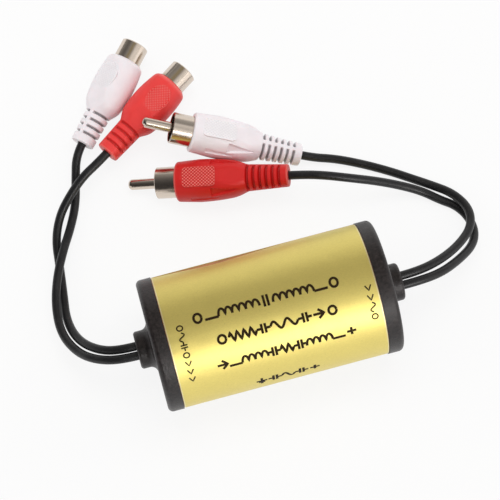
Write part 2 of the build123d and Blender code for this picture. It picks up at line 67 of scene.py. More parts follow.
# Where each connector lies: tail end, heading, nose-up pitch and roll, as in the solids
CONNECTORS_MM = {
    "white_jack": ((-39.67, 67.8, 5.894), 47.7, 1.9, -25.0),
    "red_jack": ((-33.1, 62.54, 7.938), 33.5, -0.9, 11.6),
    "white_plug": ((22.72, 48.1, 3.26), 156.1, 13.3, 10.5),
    "red_plug": ((17.1, 40.49, 12.684), 165.4, -11.4, -2.0),
}

# Control points of the cords in millimetres, from the socket in the cap to the one in the boot
CORD_ROUTES_MM = {
    "white_jack": [
        (-38.6, -1.4, 19.5), (-44.6, -1.4, 19.5), (-51.6, 1.0, 17.0), (-56.6, 5.8, 11.2),
        (-59.8, 13.2, 6.8), (-59.4, 22.0, 5.0), (-56.9, 30.2, 4.9), (-53.2, 37.8, 4.2),
        (-49.3, 44.6, 2.2), (-46.2, 51.2, 1.6), (-44.3, 58.0, 3.6), (-42.23, 64.99, 5.77),
        (-39.13, 68.39, 5.92),
    ],
    "red_jack": [
        (-38.6, 1.4, 19.5), (-44.6, 1.4, 19.5), (-50.6, 4.0, 15.8), (-55.4, 9.4, 9.4),
        (-57.4, 17.0, 3.9), (-56.4, 25.6, 1.6), (-55.4, 34.2, 1.4), (-54.6, 42.2, 1.5),
        (-51.6, 48.8, 2.9), (-47.2, 53.2, 5.6), (-41.9, 57.4, 7.6), (-36.27, 60.44, 8.0),
        (-32.43, 62.98, 7.93),
    ],
    "white_plug": [
        (38.6, 1.4, 19.5), (44.6, 1.4, 19.5), (52.2, 3.4, 16.4), (59.6, 7.2, 11.6),
        (65.6, 12.4, 7.8), (67.0, 18.6, 5.2), (63.9, 24.7, 3.2), (58.8, 29.0, 1.6),
        (53.0, 33.0, 1.4), (47.4, 36.8, 1.4), (40.6, 40.8, 1.4), (33.0, 44.6, 1.4),
        (26.1, 46.6, 2.39), (22.01, 48.42, 3.44),
    ],
    "red_plug": [
        (38.6, -1.4, 19.5), (44.6, -1.4, 19.5), (51.8, -0.2, 16.6), (58.8, 3.2, 11.2),
        (64.6, 7.2, 6.1), (67.0, 11.8, 3.3), (66.5, 17.0, 1.8), (63.9, 21.3, 1.4),
        (60.0, 24.0, 1.4), (55.2, 27.9, 2.4), (49.2, 30.6, 5.2), (42.2, 32.9, 9.0),
        (34.4, 35.0, 12.6), (26.8, 37.5, 14.4), (20.7, 39.55, 13.44), (16.34, 40.69, 12.53),
    ],
}


def length_prop(name, text, mm):
    """A length in metres whose default is given in millimetres."""
    return FloatProperty(name=name, description=text, default=mm * MM, min=0.0, unit="LENGTH", precision=5)


def number_prop(name, text, value, unit="NONE"):
    """A number in a unit, or a plain one such as a share, a brightness or an angle in degrees."""
    return FloatProperty(name=name, description=text, default=value, unit=unit)


def count_prop(name, text, count):
    """A number of slots or steps."""
    return IntProperty(name=name, description=text, default=count, min=1)


def colour_prop(name, text, rgb):
    """A linear colour."""
    return FloatVectorProperty(name=name, description=text, default=rgb, min=0.0, max=1.0,
                               size=3, subtype="COLOR")


class PlugBootSizes(bpy.types.PropertyGroup):
    """Moulded boot of a plug, along its own axis from the tail."""

    length: length_prop("Length", "Tail face to front face", 33.9)
    tail_d: length_prop("Tail", "Diameter at the tail", 6.7)
    neck_x: length_prop("Neck place", "Where the slotted tail ends", 12.6)
    neck_d: length_prop("Neck", "Diameter at the neck", 8.1)
    hip_x: length_prop("Hip place", "Where the steep rise behind the grip ends", 17.5)
    hip_d: length_prop("Hip", "Diameter where the steep rise ends", 11.5)
    belly_x: length_prop("Belly place", "Where the grip is widest", 27.0)
    belly_d: length_prop("Belly", "Diameter of the grip where it is widest", 12.8)
    front_d: length_prop("Front", "Diameter at the front", 12.0)
    front_r: length_prop("Front edge", "Radius of the front edge", 0.8)
    slots: count_prop("Slots", "Flex slots along the tail", 6)
    slot_x: length_prop("First slot", "Start of the first slot", 2.3)
    slot_pitch: length_prop("Slot pitch", "From one slot to the next", 1.9)
    slot_w: length_prop("Slot width", "Width of a slot", 0.7)
    pad_l: length_prop("Pad length", "Length of the grip pad", 10.0)
    pad_w: length_prop("Pad width", "Width of the grip pad", 6.0)
    pad_sunk: length_prop("Pad depth", "How far the pads lie under the widest part", 0.35)
    pad_back: length_prop("Pad place", "Middle of the pad behind the front face", 7.7)
    bore_d: length_prop("Bore", "Bore that seats the metal", 9.4)
    seat: length_prop("Seat", "Depth of the bore", 7.0)


class JackBootSizes(bpy.types.PropertyGroup):
    """Moulded boot of a jack, along its own axis from the tail."""

    length: length_prop("Length", "Tail face to front face", 28.6)
    tail_d: length_prop("Tail", "Diameter at the tail", 7.1)
    neck_x: length_prop("Neck place", "Where the slotted tail ends", 10.2)
    neck_d: length_prop("Neck", "Diameter at the neck", 7.7)
    shoulder_l: length_prop("Shoulder length", "Length of the steep shoulder", 2.6)
    shoulder_d: length_prop("Shoulder", "Diameter at the end of the shoulder", 11.0)
    belly_x: length_prop("Belly place", "Where the grip is widest", 20.0)
    belly_d: length_prop("Belly", "Diameter of the grip where it is widest", 12.5)
    front_d: length_prop("Front", "Diameter at the front", 11.4)
    front_r: length_prop("Front edge", "Radius of the front edge", 1.6)
    slots: count_prop("Slots", "Flex slots along the tail", 4)
    slot_x: length_prop("First slot", "Start of the first slot", 2.6)
    slot_pitch: length_prop("Slot pitch", "From one slot to the next", 2.25)
    slot_w: length_prop("Slot width", "Width of a slot", 0.65)
    pad_l: length_prop("Pad length", "Length of the oval pad", 9.0)
    pad_w: length_prop("Pad width", "Width of the oval pad", 6.6)
    pad_sunk: length_prop("Pad depth", "How far the pads lie under the widest part", 0.5)
    pad_back: length_prop("Pad place", "Middle of the pad behind the front face", 7.0)
    bore_d: length_prop("Bore", "Bore that seats the metal", 9.0)
    seat: length_prop("Seat", "Depth of the bore", 9.0)


class GripSizes(bpy.types.PropertyGroup):
    """Details of the boots' tails and grips."""

    slot_depth: length_prop("Slot depth", "Depth of the flex slots", 0.9)
    rib_angle: number_prop("Rib", "Angle of a rib between slots", 18.0)
    ramp_rise: length_prop("Ramp start", "Height of a pad's ramp over the neck", 0.1)
    pad_corner_r: length_prop("Pad corner", "Corner radius of the plugs' pads", 1.2)
    knurl_depth: length_prop("Knurl depth", "Depth of the diamonds in the pads", 0.32)
    faint_knurl_depth: length_prop("White knurl depth", "Depth of the white boots' worn diamonds", 0.08)
    knurl_l: length_prop("Knurl length", "Length of one diamond along the boot", 1.05)
    knurl_w: length_prop("Knurl width", "Width of one diamond across the boot", 0.95)
    wedge_x: length_prop("Recess place", "Middle of the plugs' finger recesses", 18.8)
    wedge_depth: length_prop("Recess depth", "Depth of the finger recesses at their wide end", 0.45)
    wedge_l: length_prop("Recess length", "Length of the finger recesses", 8.0)
    wedge_w: length_prop("Recess width", "Width of the finger recesses", 3.0)
    wedge_angle: number_prop("Recess angle", "From the pad's middle", 50.0)
    facet_x: length_prop("Facet place", "Middle of the plugs' long side facets", 25.0)
    facet_depth: length_prop("Facet depth", "Depth of the long side facets", 0.35)
    facet_l: length_prop("Facet length", "Length of the long side facets", 8.5)
    facet_w: length_prop("Facet width", "Width of the long side facets", 1.6)
    facet_angle: number_prop("Facet angle", "From the pad's middle", 72.0)
    seam_h: length_prop("Parting line", "Height of the mould's parting line", 0.035)
    turns: count_prop("Turns", "Steps round a boot", 192)


class FoilSizes(bpy.types.PropertyGroup):
    """Foil label round the tube."""

    thickness: length_prop("Thickness", "Thickness of the foil", 0.2)
    seam_low: number_prop("Seam, lower edge", "Above the far horizontal", 11.5)
    seam_high: number_prop("Seam, upper edge", "Above the far horizontal", 17.5)
    seam_bow: number_prop("Seam bow", "How far the upper edge is bowed", 11.5)
    bow_place: number_prop("Bow place", "Share of the length from the jack end", 0.31)
    bow_spread: number_prop("Bow spread", "Share of the length over which the bow fades", 0.24)
    rows: count_prop("Rows", "Points along the foil", 122)
    columns: count_prop("Columns", "Points round the foil", 260)
    wave: length_prop("Waves", "Height of the foil's slow waves", 0.02)
    ink_t: length_prop("Ink", "Thickness of the print", 0.015)
    stroke: length_prop("Stroke", "Width of the bold strokes", 0.74)
    fine_stroke: length_prop("Fine stroke", "Width of the small signs' strokes", 0.40)


class CordSizes(bpy.types.PropertyGroup):
    """Round cords."""

    diameter: length_prop("Diameter", "Outer diameter of a cord", 2.6)


class Finishes(bpy.types.PropertyGroup):
    """Base colours, and the painted shade in the boots' slots and knurl valleys."""

    charcoal: colour_prop("Caps", "Moulded charcoal plastic", (0.0105, 0.0078, 0.0078))
    foil: colour_prop("Foil", "Gold foil", (0.85, 0.71, 0.215))
    cut_edge: colour_prop("Foil edge", "Pale cut edge of the foil", (0.92, 0.86, 0.58))
    ink: colour_prop("Ink", "Brown-black print", (0.022, 0.012, 0.004))
    paper: colour_prop("Tube", "Wound paper tube", (0.52, 0.22, 0.085))
    white: colour_prop("White boots", "Soft white plastic", (0.885, 0.83, 0.865))
    # Paler colours of worn ridges and edges; on the knurl ridges they are also a painted highlight
    white_rub: colour_prop("White ridges", "Rubbed ridges of the white boots", (0.93, 0.90, 0.91))
    red_rub: colour_prop("Red ridges", "Rubbed ridges of the red boots", (0.93, 0.30, 0.26))
    # The plug's darker red and the jack's paler red are shaded and lit copies of one red plastic: painted
    # light
    red: colour_prop("Red plug", "Soft red plastic of the plug's boot", (0.62, 0.008, 0.007))
    red_jack: colour_prop("Red jack", "Paler red plastic of the jack's boot", (0.82, 0.045, 0.042))
    # How dark the painted shade in the slots and knurl valleys of the white and of the red boots is
    white_grime: number_prop("White grime", "How dark the slots of the white boots are", 0.85)
    red_grime: number_prop("Red grime", "How dark the slots of the red boots are", 0.30)
    nickel: colour_prop("Metal", "Nickel plate", (0.70, 0.61, 0.525))
    insulator: colour_prop("Insulators", "White insulating plastic", (0.80, 0.79, 0.75))
    cord: colour_prop("Cords", "Black jacket", (0.011, 0.011, 0.012))
    dust: colour_prop("Dust", "Dust on the cords", (0.07, 0.068, 0.066))
    board: colour_prop("Board", "Phenolic board", (0.36, 0.22, 0.09))
    steel: colour_prop("Core", "Stamped steel", (0.32, 0.33, 0.35))
    nylon: colour_prop("Bobbins", "Natural nylon", (0.74, 0.72, 0.64))
    copper: colour_prop("Windings", "Enamelled copper", (0.55, 0.19, 0.07))
    tin: colour_prop("Terminals", "Tinned wire", (0.70, 0.70, 0.68))


class StageSettings(bpy.types.PropertyGroup):
    """Camera, floor and light."""

    target: FloatVectorProperty(name="Target", description="Where the camera looks, on the floor",
                                default=(0.79 * MM, 24.41 * MM, 0.0), subtype="TRANSLATION", unit="LENGTH")
    elevation: number_prop("Elevation", "Camera above the floor", 77.4)
    azimuth: number_prop("Azimuth", "Camera turned round the object", -15.13)
    distance: number_prop("Distance", "Camera to target", 0.65, "LENGTH")
    focal_share: number_prop("Focal share", "Focal length in picture widths", 4.34)
    top_power: number_prop("Top", "Power of the softbox over the back", 2.8, "POWER")
    side_power: number_prop("Sides", "Power of each side softbox", 0.8, "POWER")
    floor_width: number_prop("Floor width", "Side of the square floor", 6.0, "LENGTH")
    floor_glow: number_prop("Floor", "Share of the floor that is plain white", 0.86)
    floor_shine: number_prop("Floor shine", "Share of that white that shiny surfaces see", 0.9)
    world_level: number_prop("Room", "Brightness of the room", 0.62)
    front_level: number_prop("Front panel", "Brightness of the reflected front panel", 7.5)
    side_level: number_prop("Side panel", "Brightness of the reflected right side", 0.88)
    wall_level: number_prop("Front wall", "Brightness of the reflected wall round the front panel", 1.25)
    left_level: number_prop("Left wall", "Brightness of the reflected left wall", 0.25)
    ceiling_level: number_prop("Ceiling", "Brightness of the reflected ceiling", 0.30)
    ceiling_left: number_prop("Ceiling, left", "Brightness of the ceiling at its left end", 0.04)
    ceiling_back: number_prop("Ceiling, back", "How much brighter the ceiling is at the back", 0.10)


class Val:
    """An output socket; arithmetic on it adds Math nodes to its shader tree."""

    def __init__(self, shade, socket):
        self.shade = shade
        self.socket = socket

    def __add__(self, other):
        return self.shade.math("ADD", self, other)

    def __radd__(self, other):
        return self.shade.math("ADD", other, self)

    def __sub__(self, other):
        return self.shade.math("SUBTRACT", self, other)

    def __rsub__(self, other):
        return self.shade.math("SUBTRACT", other, self)

    def __mul__(self, other):
        return self.shade.math("MULTIPLY", self, other)

    def __rmul__(self, other):
        return self.shade.math("MULTIPLY", other, self)

    def __truediv__(self, other):
        return self.shade.math("DIVIDE", self, other)

    def __rtruediv__(self, other):
        return self.shade.math("DIVIDE", other, self)


class Shade:
    """A shader tree: a material's, or the world's."""

    def __init__(self, owner):
        owner.use_nodes = True
        self.owner = owner
        self.tree = owner.node_tree
        self.tree.nodes.clear()

    def add(self, kind, settings=None, inputs=None, out=0):
        """Adds a node, applies its settings first, then sets or links its sockets."""
        node = self.tree.nodes.new(kind)
        for key, value in (settings or {}).items():
            if key == "stops":
                self._set_stops(node.color_ramp.elements, value)
            else:
                setattr(node, key, value)
        for key, value in (inputs or {}).items():
            if isinstance(value, Val):
                self.tree.links.new(value.socket, node.inputs[key])
            else:
                node.inputs[key].default_value = value
        return Val(self, node.outputs[out]) if node.outputs else None

    @staticmethod
    def _set_stops(elements, stops):
        for element, (place, level) in zip(elements, stops):
            element.position = place
            element.color = (level, level, level, 1.0)

    def math(self, operation, *values):
        """A Math node on values or links."""
        return self.add("ShaderNodeMath", {"operation": operation}, dict(enumerate(values)))

    def mix(self, factor, a, b):
        """Colour a where factor is 0 and b where it is 1."""
        return self.add("ShaderNodeMix", {"data_type": "RGBA"},
                        {0: factor, 6: rgba(a), 7: rgba(b)}, out=2)

    def between(self, factor, colour, low, high):
        """A colour times low where factor is 0 and times high where it is 1."""
        return self.mix(factor, shades(colour, low), shades(colour, high))

    def place(self, stretch):
        """The point on the surface in metres, stretched along the axes."""
        point = self.add("ShaderNodeTexCoord", out=3)
        return self.add("ShaderNodeMapping", {}, {"Vector": point, "Scale": stretch})

    def texture(self, kind, size_mm, settings=None, inputs=None, stretch=EVEN, out=0):
        """A texture whose features measure about size_mm."""
        place = {"Vector": self.place(stretch), "Scale": 1 / (size_mm * MM)}
        return self.add(kind, settings, {**place, **(inputs or {})}, out)

    def noise(self, size_mm, detail=3.0, stretch=EVEN, rough=0.5):
        """Noise from 0 to 1."""
        inputs = {"Detail": detail, "Roughness": rough}
        return self.texture("ShaderNodeTexNoise", size_mm, {}, inputs, stretch)

    def bands(self, direction, size_mm, distortion):
        """Soft bands from 0 to 1 that follow each other in a direction."""
        settings = {"wave_type": "BANDS", "bands_direction": direction}
        return self.texture("ShaderNodeTexWave", size_mm, settings, {"Distortion": distortion}, out=1)

    def cells(self, size_mm):
        """Distance to the nearest of scattered points, in cell widths."""
        return self.texture("ShaderNodeTexVoronoi", size_mm)

    def ramp(self, value, *stops):
        """Value through two grey stops of (place, level)."""
        return self.add("ShaderNodeValToRGB", {"stops": stops}, {0: value})

    def rise(self, value, low, high):
        """Smoothly from 0 to 1 as value goes from low to high."""
        return self.add("ShaderNodeMapRange", {"interpolation_type": "SMOOTHSTEP"},
                        {0: value, 1: low, 2: high})

    def bump(self, height, depth_mm, strength=1.0, under=None):
        """A normal from a height between 0 and 1 that stands for depth_mm."""
        inputs = {"Height": height, "Distance": depth_mm * MM, "Strength": strength}
        if under is not None:
            inputs["Normal"] = under
        return self.add("ShaderNodeBump", {}, inputs)

    def surface(self, **sockets):
        """The Principled shader with these sockets, as the material's surface."""
        inputs = {SOCKETS[key]: value for key, value in sockets.items()}
        self.output(self.add("ShaderNodeBsdfPrincipled", {}, inputs))
        return self.owner

    def output(self, shader):
        world = isinstance(self.owner, bpy.types.World)
        self.add("ShaderNodeOutput" + ("World" if world else "Material"), {}, {"Surface": shader})


SOCKETS = {
    "colour": "Base Color", "roughness": "Roughness", "metallic": "Metallic", "normal": "Normal",
    "specular": "Specular IOR Level", "subsurface": "Subsurface Weight",
    "subsurface_scale": "Subsurface Scale", "subsurface_radius": "Subsurface Radius",
}


def rgba(value):
    """A colour as a socket wants it; links pass through."""
    return value if isinstance(value, Val) else (*value[:3], 1.0)


def shades(colour, factor):
    """A darker or lighter form of a colour."""
    return tuple(min(1.0, c * factor) for c in colour)


def new_shade(name):
    return Shade(bpy.data.materials.new(name))


MADE = {}


def made_once(make, finish):
    """The material that make builds, built when it is first wanted."""
    if make not in MADE:
        MADE[make] = make(finish)
    return MADE[make]


def charcoal_plastic(finish):
    """Moulded plastic: a fine grain over a coarser mottle, and a few paler scuffs."""
    m = new_shade("charcoal_plastic")
    grain = m.noise(0.42, 4.0, rough=0.75)
    mottle = m.noise(0.9, 3.0, rough=0.75)
    scuffs = m.ramp(m.noise(0.8, 6.0, rough=0.8), (0.57, 0.0), (0.66, 1.0))
    tone = m.between(m.ramp(mottle, (0.40, 0.0), (0.62, 1.0)), finish.charcoal, 0.45, 2.1)
    tone = m.mix(m.ramp(grain, (0.48, 0.0), (0.66, 1.0)) * 0.6, tone, shades(finish.charcoal, 2.6))
    tone = m.mix(scuffs * 0.5, tone, shades(finish.charcoal, 5.5))
    return m.surface(colour=tone, roughness=0.20 + 0.18 * grain + 0.20 * mottle, specular=0.44,
                     normal=m.bump(grain, 0.05, 0.8, m.bump(mottle, 0.10, 0.8)))


def gold_foil(finish):
    """Satin foil: fine speckle and rolling marks along the tube, slow waves and a pale cut edge."""
    m = new_shade("gold_foil")
    speckle = m.noise(0.30, 4.0, (0.5, 1.0, 1.0), 0.8)
    streaks = m.noise(0.7, 4.0, (0.05, 1.0, 1.0), 0.65)
    worn = m.ramp(m.noise(2.0, 1.0), (0.56, 0.0), (0.60, 1.0))
    specks = m.ramp(m.cells(1.1), (0.05, 1.0), (0.09, 0.0)) * worn
    half = foil_sizes()[0]
    x = m.add("ShaderNodeSeparateXYZ", {}, {0: m.place(EVEN)})
    edge_from, edge_to = (1 - width_mm * MM / half for width_mm in (0.30, 0.18))
    edge = m.ramp(m.math("ABSOLUTE", x) / half, (edge_from, 0.0), (edge_to, 1.0))
    tone = m.between(m.noise(9.0, 2.0), finish.foil, 0.95, 1.04)
    tone = m.mix(m.ramp(speckle, (0.35, 0.0), (0.70, 1.0)) * 0.5, tone, shades(finish.foil, 0.80))
    tone = m.mix(specks * 0.6, tone, shades(finish.foil, 0.40))
    tone = m.mix(edge * 0.8, tone, finish.cut_edge)
    waves = m.bump(m.noise(6.0, 3.0), 0.16, 0.6)
    brushed = m.bump(streaks, 0.032, 0.7, waves)
    return m.surface(colour=tone, metallic=0.84, roughness=0.35 + 0.14 * speckle,
                     normal=m.bump(speckle, 0.034, 0.9, brushed))


def printed_ink(finish):
    """Dull brown-black ink with small voids where it skips on the foil."""
    m = new_shade("printed_ink")
    voids = m.ramp(m.noise(0.14, 3.0, rough=0.7), (0.66, 0.0), (0.72, 1.0))
    tone = m.mix(voids * 0.6, finish.ink, shades(finish.foil, 0.5))
    return m.surface(colour=tone, roughness=0.45 + 0.15 * m.noise(0.3), specular=0.12)


def wound_paper(finish):
    """Brown paper with fibres and the edge lines of its spiral plies."""
    m = new_shade("wound_paper")
    fibres = m.noise(0.35, 5.0, (0.25, 1.0, 1.0), 0.7)
    line = m.ramp(m.bands("DIAGONAL", 55, 0.6), (0.0, 1.0), (0.05, 0.0))
    tone = m.between(fibres, finish.paper, 0.78, 1.22)
    tone = m.mix(line * 0.5, tone, shades(finish.paper, 0.55))
    return m.surface(colour=tone, roughness=0.85, normal=m.bump(fibres - line, 0.05, 0.6))


def soft_plastic(name, colour, wear_and_highlight_colour, painted_shade):
    """Soft moulded boot: satin skin, orange peel, flow marks, wear and a painted highlight on ridges,
    painted shade in slots.
    """
    m = new_shade(name)
    peel = m.noise(0.30, 3.0, rough=0.55)
    dust = m.ramp(m.noise(0.25, 5.0, rough=0.8), (0.66, 0.0), (0.76, 1.0))
    # Above 0 this attribute pales towards the ridge colour, for wear and, on knurl ridges, a painted
    # highlight; below 0 it darkens with painted shade
    rub = m.add("ShaderNodeAttribute", {"attribute_name": "rub"}, out=2)
    tone = m.between(m.noise(3.5, 3.0, rough=0.6), colour, 0.93, 1.06)
    tone = m.mix(dust * 0.18, tone, shades(colour, 0.55))
    tone = m.mix(rub * (0.55 + 0.6 * m.noise(0.5, 3.0)), tone, wear_and_highlight_colour)
    # Painted shade: where the attribute is below 0, slots and knurl valleys darken
    tone = m.mix(-painted_shade * rub, tone, shades(colour, 0.22))
    return m.surface(colour=tone, roughness=0.38 + 0.12 * peel, normal=m.bump(peel, 0.012, 0.55),
                     subsurface=0.10, subsurface_radius=(1.0, 0.45, 0.4), subsurface_scale=0.6 * MM)


def nickel_plate(finish):
    """Bright nickel with a few hairlines and finger haze."""
    m = new_shade("nickel_plate")
    haze = m.noise(2.2, 4.0, rough=0.6)
    hair = m.noise(0.12, 2.0, (0.15, 1.0, 1.0), 0.5)
    return m.surface(colour=m.between(haze, finish.nickel, 0.93, 1.05), metallic=1.0,
                     roughness=0.13 + 0.10 * haze, normal=m.bump(hair, 0.0025, 0.5))


def cord_jacket(finish):
    """Satin black jacket with a fine skin and patches of dust."""
    m = new_shade("cord_jacket")
    skin = m.noise(0.25, 4.0, rough=0.6)
    dust = m.ramp(m.noise(4.0, 5.0, rough=0.7), (0.50, 0.0), (0.80, 1.0))
    tone = m.mix(dust * 0.25, m.between(skin, finish.cord, 0.7, 1.5), finish.dust)
    return m.surface(colour=tone, roughness=0.28 + 0.16 * skin, specular=0.36,
                     normal=m.bump(skin, 0.010, 0.6))


def stamped_steel(finish):
    """Stained steel with the edges of the core's sheets."""
    m = new_shade("stamped_steel")
    stain = m.noise(1.5, 4.0)
    return m.surface(colour=m.between(stain, finish.steel, 0.7, 1.15), metallic=0.9,
                     roughness=0.42 + 0.2 * stain, normal=m.bump(m.bands("Z", 3.2, 0.3), 0.05, 0.7))


def enamelled_copper(finish):
    """Turns of fine wire laid side by side along the bobbin."""
    m = new_shade("enamelled_copper")
    turns = m.bands("X", 1.3, 0.8)
    return m.surface(colour=m.between(turns, finish.copper, 0.35, 1.0), metallic=0.85,
                     roughness=0.32, normal=m.bump(turns, 0.08, 0.9))


def insulator_plastic(finish):
    """White discs behind the pins, slightly chalky."""
    m = new_shade("insulator_plastic")
    chalk = m.noise(0.4, 4.0, rough=0.6)
    return m.surface(colour=m.between(chalk, finish.insulator, 0.9, 1.06),
                     roughness=0.5 + 0.1 * chalk, normal=m.bump(chalk, 0.01, 0.5))


def phenolic_board(finish):
    """Brown laminate with paper fibres."""
    m = new_shade("phenolic_board")
    fibres = m.noise(0.8, 5.0, (1.0, 0.3, 1.0), 0.7)
    return m.surface(colour=m.between(fibres, finish.board, 0.75, 1.2), roughness=0.55,
                     normal=m.bump(fibres, 0.01, 0.5))


def natural_nylon(finish):
    """Cloudy bobbin plastic."""
    m = new_shade("natural_nylon")
    cloud = m.noise(2.0)
    return m.surface(colour=m.between(cloud, finish.nylon, 0.92, 1.06), roughness=0.42,
                     normal=m.bump(cloud, 0.02, 0.4))


def tinned_wire(finish):
    """Dull bright tin."""
    m = new_shade("tinned_wire")
    haze = m.noise(0.7)
    return m.surface(colour=m.between(haze, finish.tin, 0.85, 1.0), metallic=1.0,
                     roughness=0.25 + 0.2 * haze)


def lead_sleeves(finish):
    """Grey insulation on the inner leads."""
    m = new_shade("lead_sleeves")
    skin = m.noise(0.3)
    return m.surface(colour=m.between(skin, finish.insulator, 0.5, 0.65), roughness=0.4,
                     normal=m.bump(skin, 0.01, 0.5))


def grid_faces(rows, columns, start=0, closed=True):
    """Quads between neighbouring rows; closed joins the last column to the first."""
    faces = []
    last = columns if closed else columns - 1
    for i in range(rows - 1):
        for j in range(last):
            a = start + i * columns + j
            b = start + i * columns + (j + 1) % columns
            faces.append((a, b, b + columns, a + columns))
    return faces


def grid_rim(rows, columns):
    """Numbers of the points on the rim of a grid, in order round it."""
    rim = [i * columns for i in range(rows)]
    rim += [(rows - 1) * columns + j for j in range(1, columns)]
    rim += [i * columns + columns - 1 for i in range(rows - 2, -1, -1)]
    return rim + list(range(columns - 2, 0, -1))


def next_pairs(ring):
    """Each member of a ring with the next one."""
    return zip(ring, ring[1:] + ring[:1])


class Shell:
    """Points, how far each is paled by wear and painted highlight or, below 0, darkened with painted shade,
    and faces of one mesh.
    """

    def __init__(self):
        self.points = []
        self.rub = []
        self.faces = []

    def add_points(self, points, rub=0.0):
        """Adds points and returns the number of the first; rub is one value or one for each point."""
        points = np.asarray(points).reshape(-1, 3)
        start = len(self.points)
        self.points.extend(map(tuple, points))
        self.rub.extend(np.broadcast_to(np.asarray(rub).reshape(-1), len(points)))
        return start

    def add_turned(self, points, rub):
        """A closed-round surface of rows and columns of points, with a fan at each end."""
        rows, columns = points.shape[:2]
        start = self.add_points(points, rub)
        self.faces += grid_faces(rows, columns, start)
        self.add_fan([start + j for j in range(columns)], points[0].mean(0), flip=False)
        first = start + (rows - 1) * columns
        self.add_fan([first + j for j in range(columns)], points[-1].mean(0), flip=True)

    def add_fan(self, ring, middle, flip):
        hub = self.add_points([middle])
        for a, b in next_pairs(ring):
            self.faces.append((hub, a, b) if flip else (hub, b, a))

    def to_object(self, name, matrix, material, sharp=35.0):
        """A smooth mesh object with outward normals, sharp where faces turn by more than sharp."""
        mesh = bpy.data.meshes.new(name)
        mesh.from_pydata(self.points, [], self.faces)
        rub = mesh.attributes.new("rub", "FLOAT", "POINT")
        rub.data.foreach_set("value", [float(v) for v in self.rub])
        mesh.transform(matrix)
        tidy = bmesh.new()
        tidy.from_mesh(mesh)
        bmesh.ops.recalc_face_normals(tidy, faces=tidy.faces)
        tidy.to_mesh(mesh)
        tidy.free()
        for polygon in mesh.polygons:
            polygon.use_smooth = True
        mesh.set_sharp_from_angle(angle=math.radians(sharp))
        mesh.materials.append(material)
        piece = bpy.data.objects.new(name, mesh)
        bpy.context.scene.collection.objects.link(piece)
        return piece


def keep(piece, slot, *nodes):
    """Rides the piece on the body and hides the solids that it stands for; slot is not used."""
    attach(piece, BODY)
    if nodes:
        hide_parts(*nodes)
    return piece


def smooth_step(value, low, high):
    """0 below low, 1 above high and an S curve between."""
    t = np.clip((value - low) / (high - low), 0.0, 1.0)
    return t * t * (3 - 2 * t)


def window(value, low, high, soft):
    """1 between low and high, falling to 0 over soft on each side."""
    past_low = smooth_step(value, low - soft / 2, low + soft / 2)
    return past_low * (1 - smooth_step(value, high - soft / 2, high + soft / 2))


def soft_min(a, b, soft):
    """The smaller of two surfaces, rounded where they meet."""
    h = np.clip(0.5 + 0.5 * (b - a) / soft, 0.0, 1.0)
    return b * (1 - h) + a * h - soft * h * (1 - h)


def soft_max(a, b, soft):
    return -soft_min(-a, -b, soft)


def wrap_angle(angle):
    """Radians brought between minus and plus a half turn."""
    return (angle + math.pi) % (2 * math.pi) - math.pi


def arc_height(x, end, other):
    """Height over x of the arc that is level at end and passes other; both are (x, height)."""
    run, drop = end[0] - other[0], end[1] - other[1]
    radius = (run * run + drop * drop) / (2 * drop)
    return end[1] - radius + np.sqrt(np.maximum(radius**2 - (x - end[0]) ** 2, 0.0))


def joined_arc(x, end, hip, other):
    """Height over x of the arc through other that joins, at hip, the arc that is level at end."""
    run, drop = end[0] - hip[0], end[1] - hip[1]
    first_r = (run * run + drop * drop) / (2 * drop)
    normal = (run / first_r, (drop - first_r) / first_r)
    step = (other[0] - hip[0], other[1] - hip[1])
    radius = (step[0] ** 2 + step[1] ** 2) / (2 * (normal[0] * step[0] + normal[1] * step[1]))
    middle = (hip[0] + normal[0] * radius, hip[1] + normal[1] * radius)
    return middle[1] + np.sqrt(np.maximum(radius**2 - (x - middle[0]) ** 2, 0.0))


# Fine sizes of the boots: how softly their parts meet, near a join, and how softly their cuts end
JOIN_REACH = 2 * MM
JOIN_SOFT = 0.5 * MM
BLEND_SOFT = 0.25 * MM
CUT_SOFT = 0.16 * MM
FACET_SOFT = 0.14 * MM
SLOT_SOFT = 0.40 * MM
PARTING_SOFT = (0.03 * MM, 0.2 * MM)
# Radians before and past a rib's side
RIB_SOFT = (-0.03, 0.10)
# Radians from the middle of a cut or a flat to where it can't reach
CUT_REACH = 1.0
FLAT_REACH = math.pi / 2 - 0.1
# A start of a window that is below every value
BELOW_ALL = -1.0
# A facet's width at its narrow end, as a share of the wide one
FACET_NARROW = 0.4
# The flats reach this far past their pads, across and along, and lie this far under them
FLAT_PAST = (0.25 * MM, 0.4 * MM)
FLAT_SOFT = (0.5 * MM, 0.35 * MM)
FLAT_SUNK = 0.05 * MM
# The tail's face and socket, and the lip of the bore
TAIL_EDGE_R = 0.3 * MM
SOCKET_DEPTH = 0.8 * MM
SOCKET_PLAY = 0.2 * MM
SOCKET_LIP = 0.1 * MM
BORE_LIP = 0.12 * MM
# Steps of the points along a boot, the finer ones at its walls, the least step and the gap at its nose
STATION_STEP = 0.25 * MM
WALL_STEPS_MM = (-0.2, -0.1, 0.0, 0.1, 0.2)
LEAST_STEP = 0.03 * MM
NOSE_GAP = 0.05 * MM
# Radius of a station that lies on the boot's own side
OWN_SIDE = -1.0
# How far the edges of a boot's ends are rubbed
TAIL_RUB = 0.3
FRONT_RUB = 0.35
# Grip pads: mesh step, rim where the diamonds run out, its rounding and the depth of a pad's root
PAD_STEP = 0.08 * MM
PAD_RIM = 0.3 * MM
PAD_ROUND = (0.12 * MM, 0.05 * MM)
PAD_ROOT = 1.1 * MM
# Share of a diamond's width over which its ridge falls to the bottom
RIDGE_FALL = (0.05, 0.36)
# How far a pad is paled by wear and a painted highlight on its ridges and at their crossings, and by
# wear on its rim, how far it is darkened with painted shade between them, and how much of that an oval pad
# has
PAD_WEAR_AND_PAINTED_LIGHT = {"ridge": 0.45, "crossing": 0.9, "rim": 0.3, "painted_shade": 0.3, "oval": 0.5}


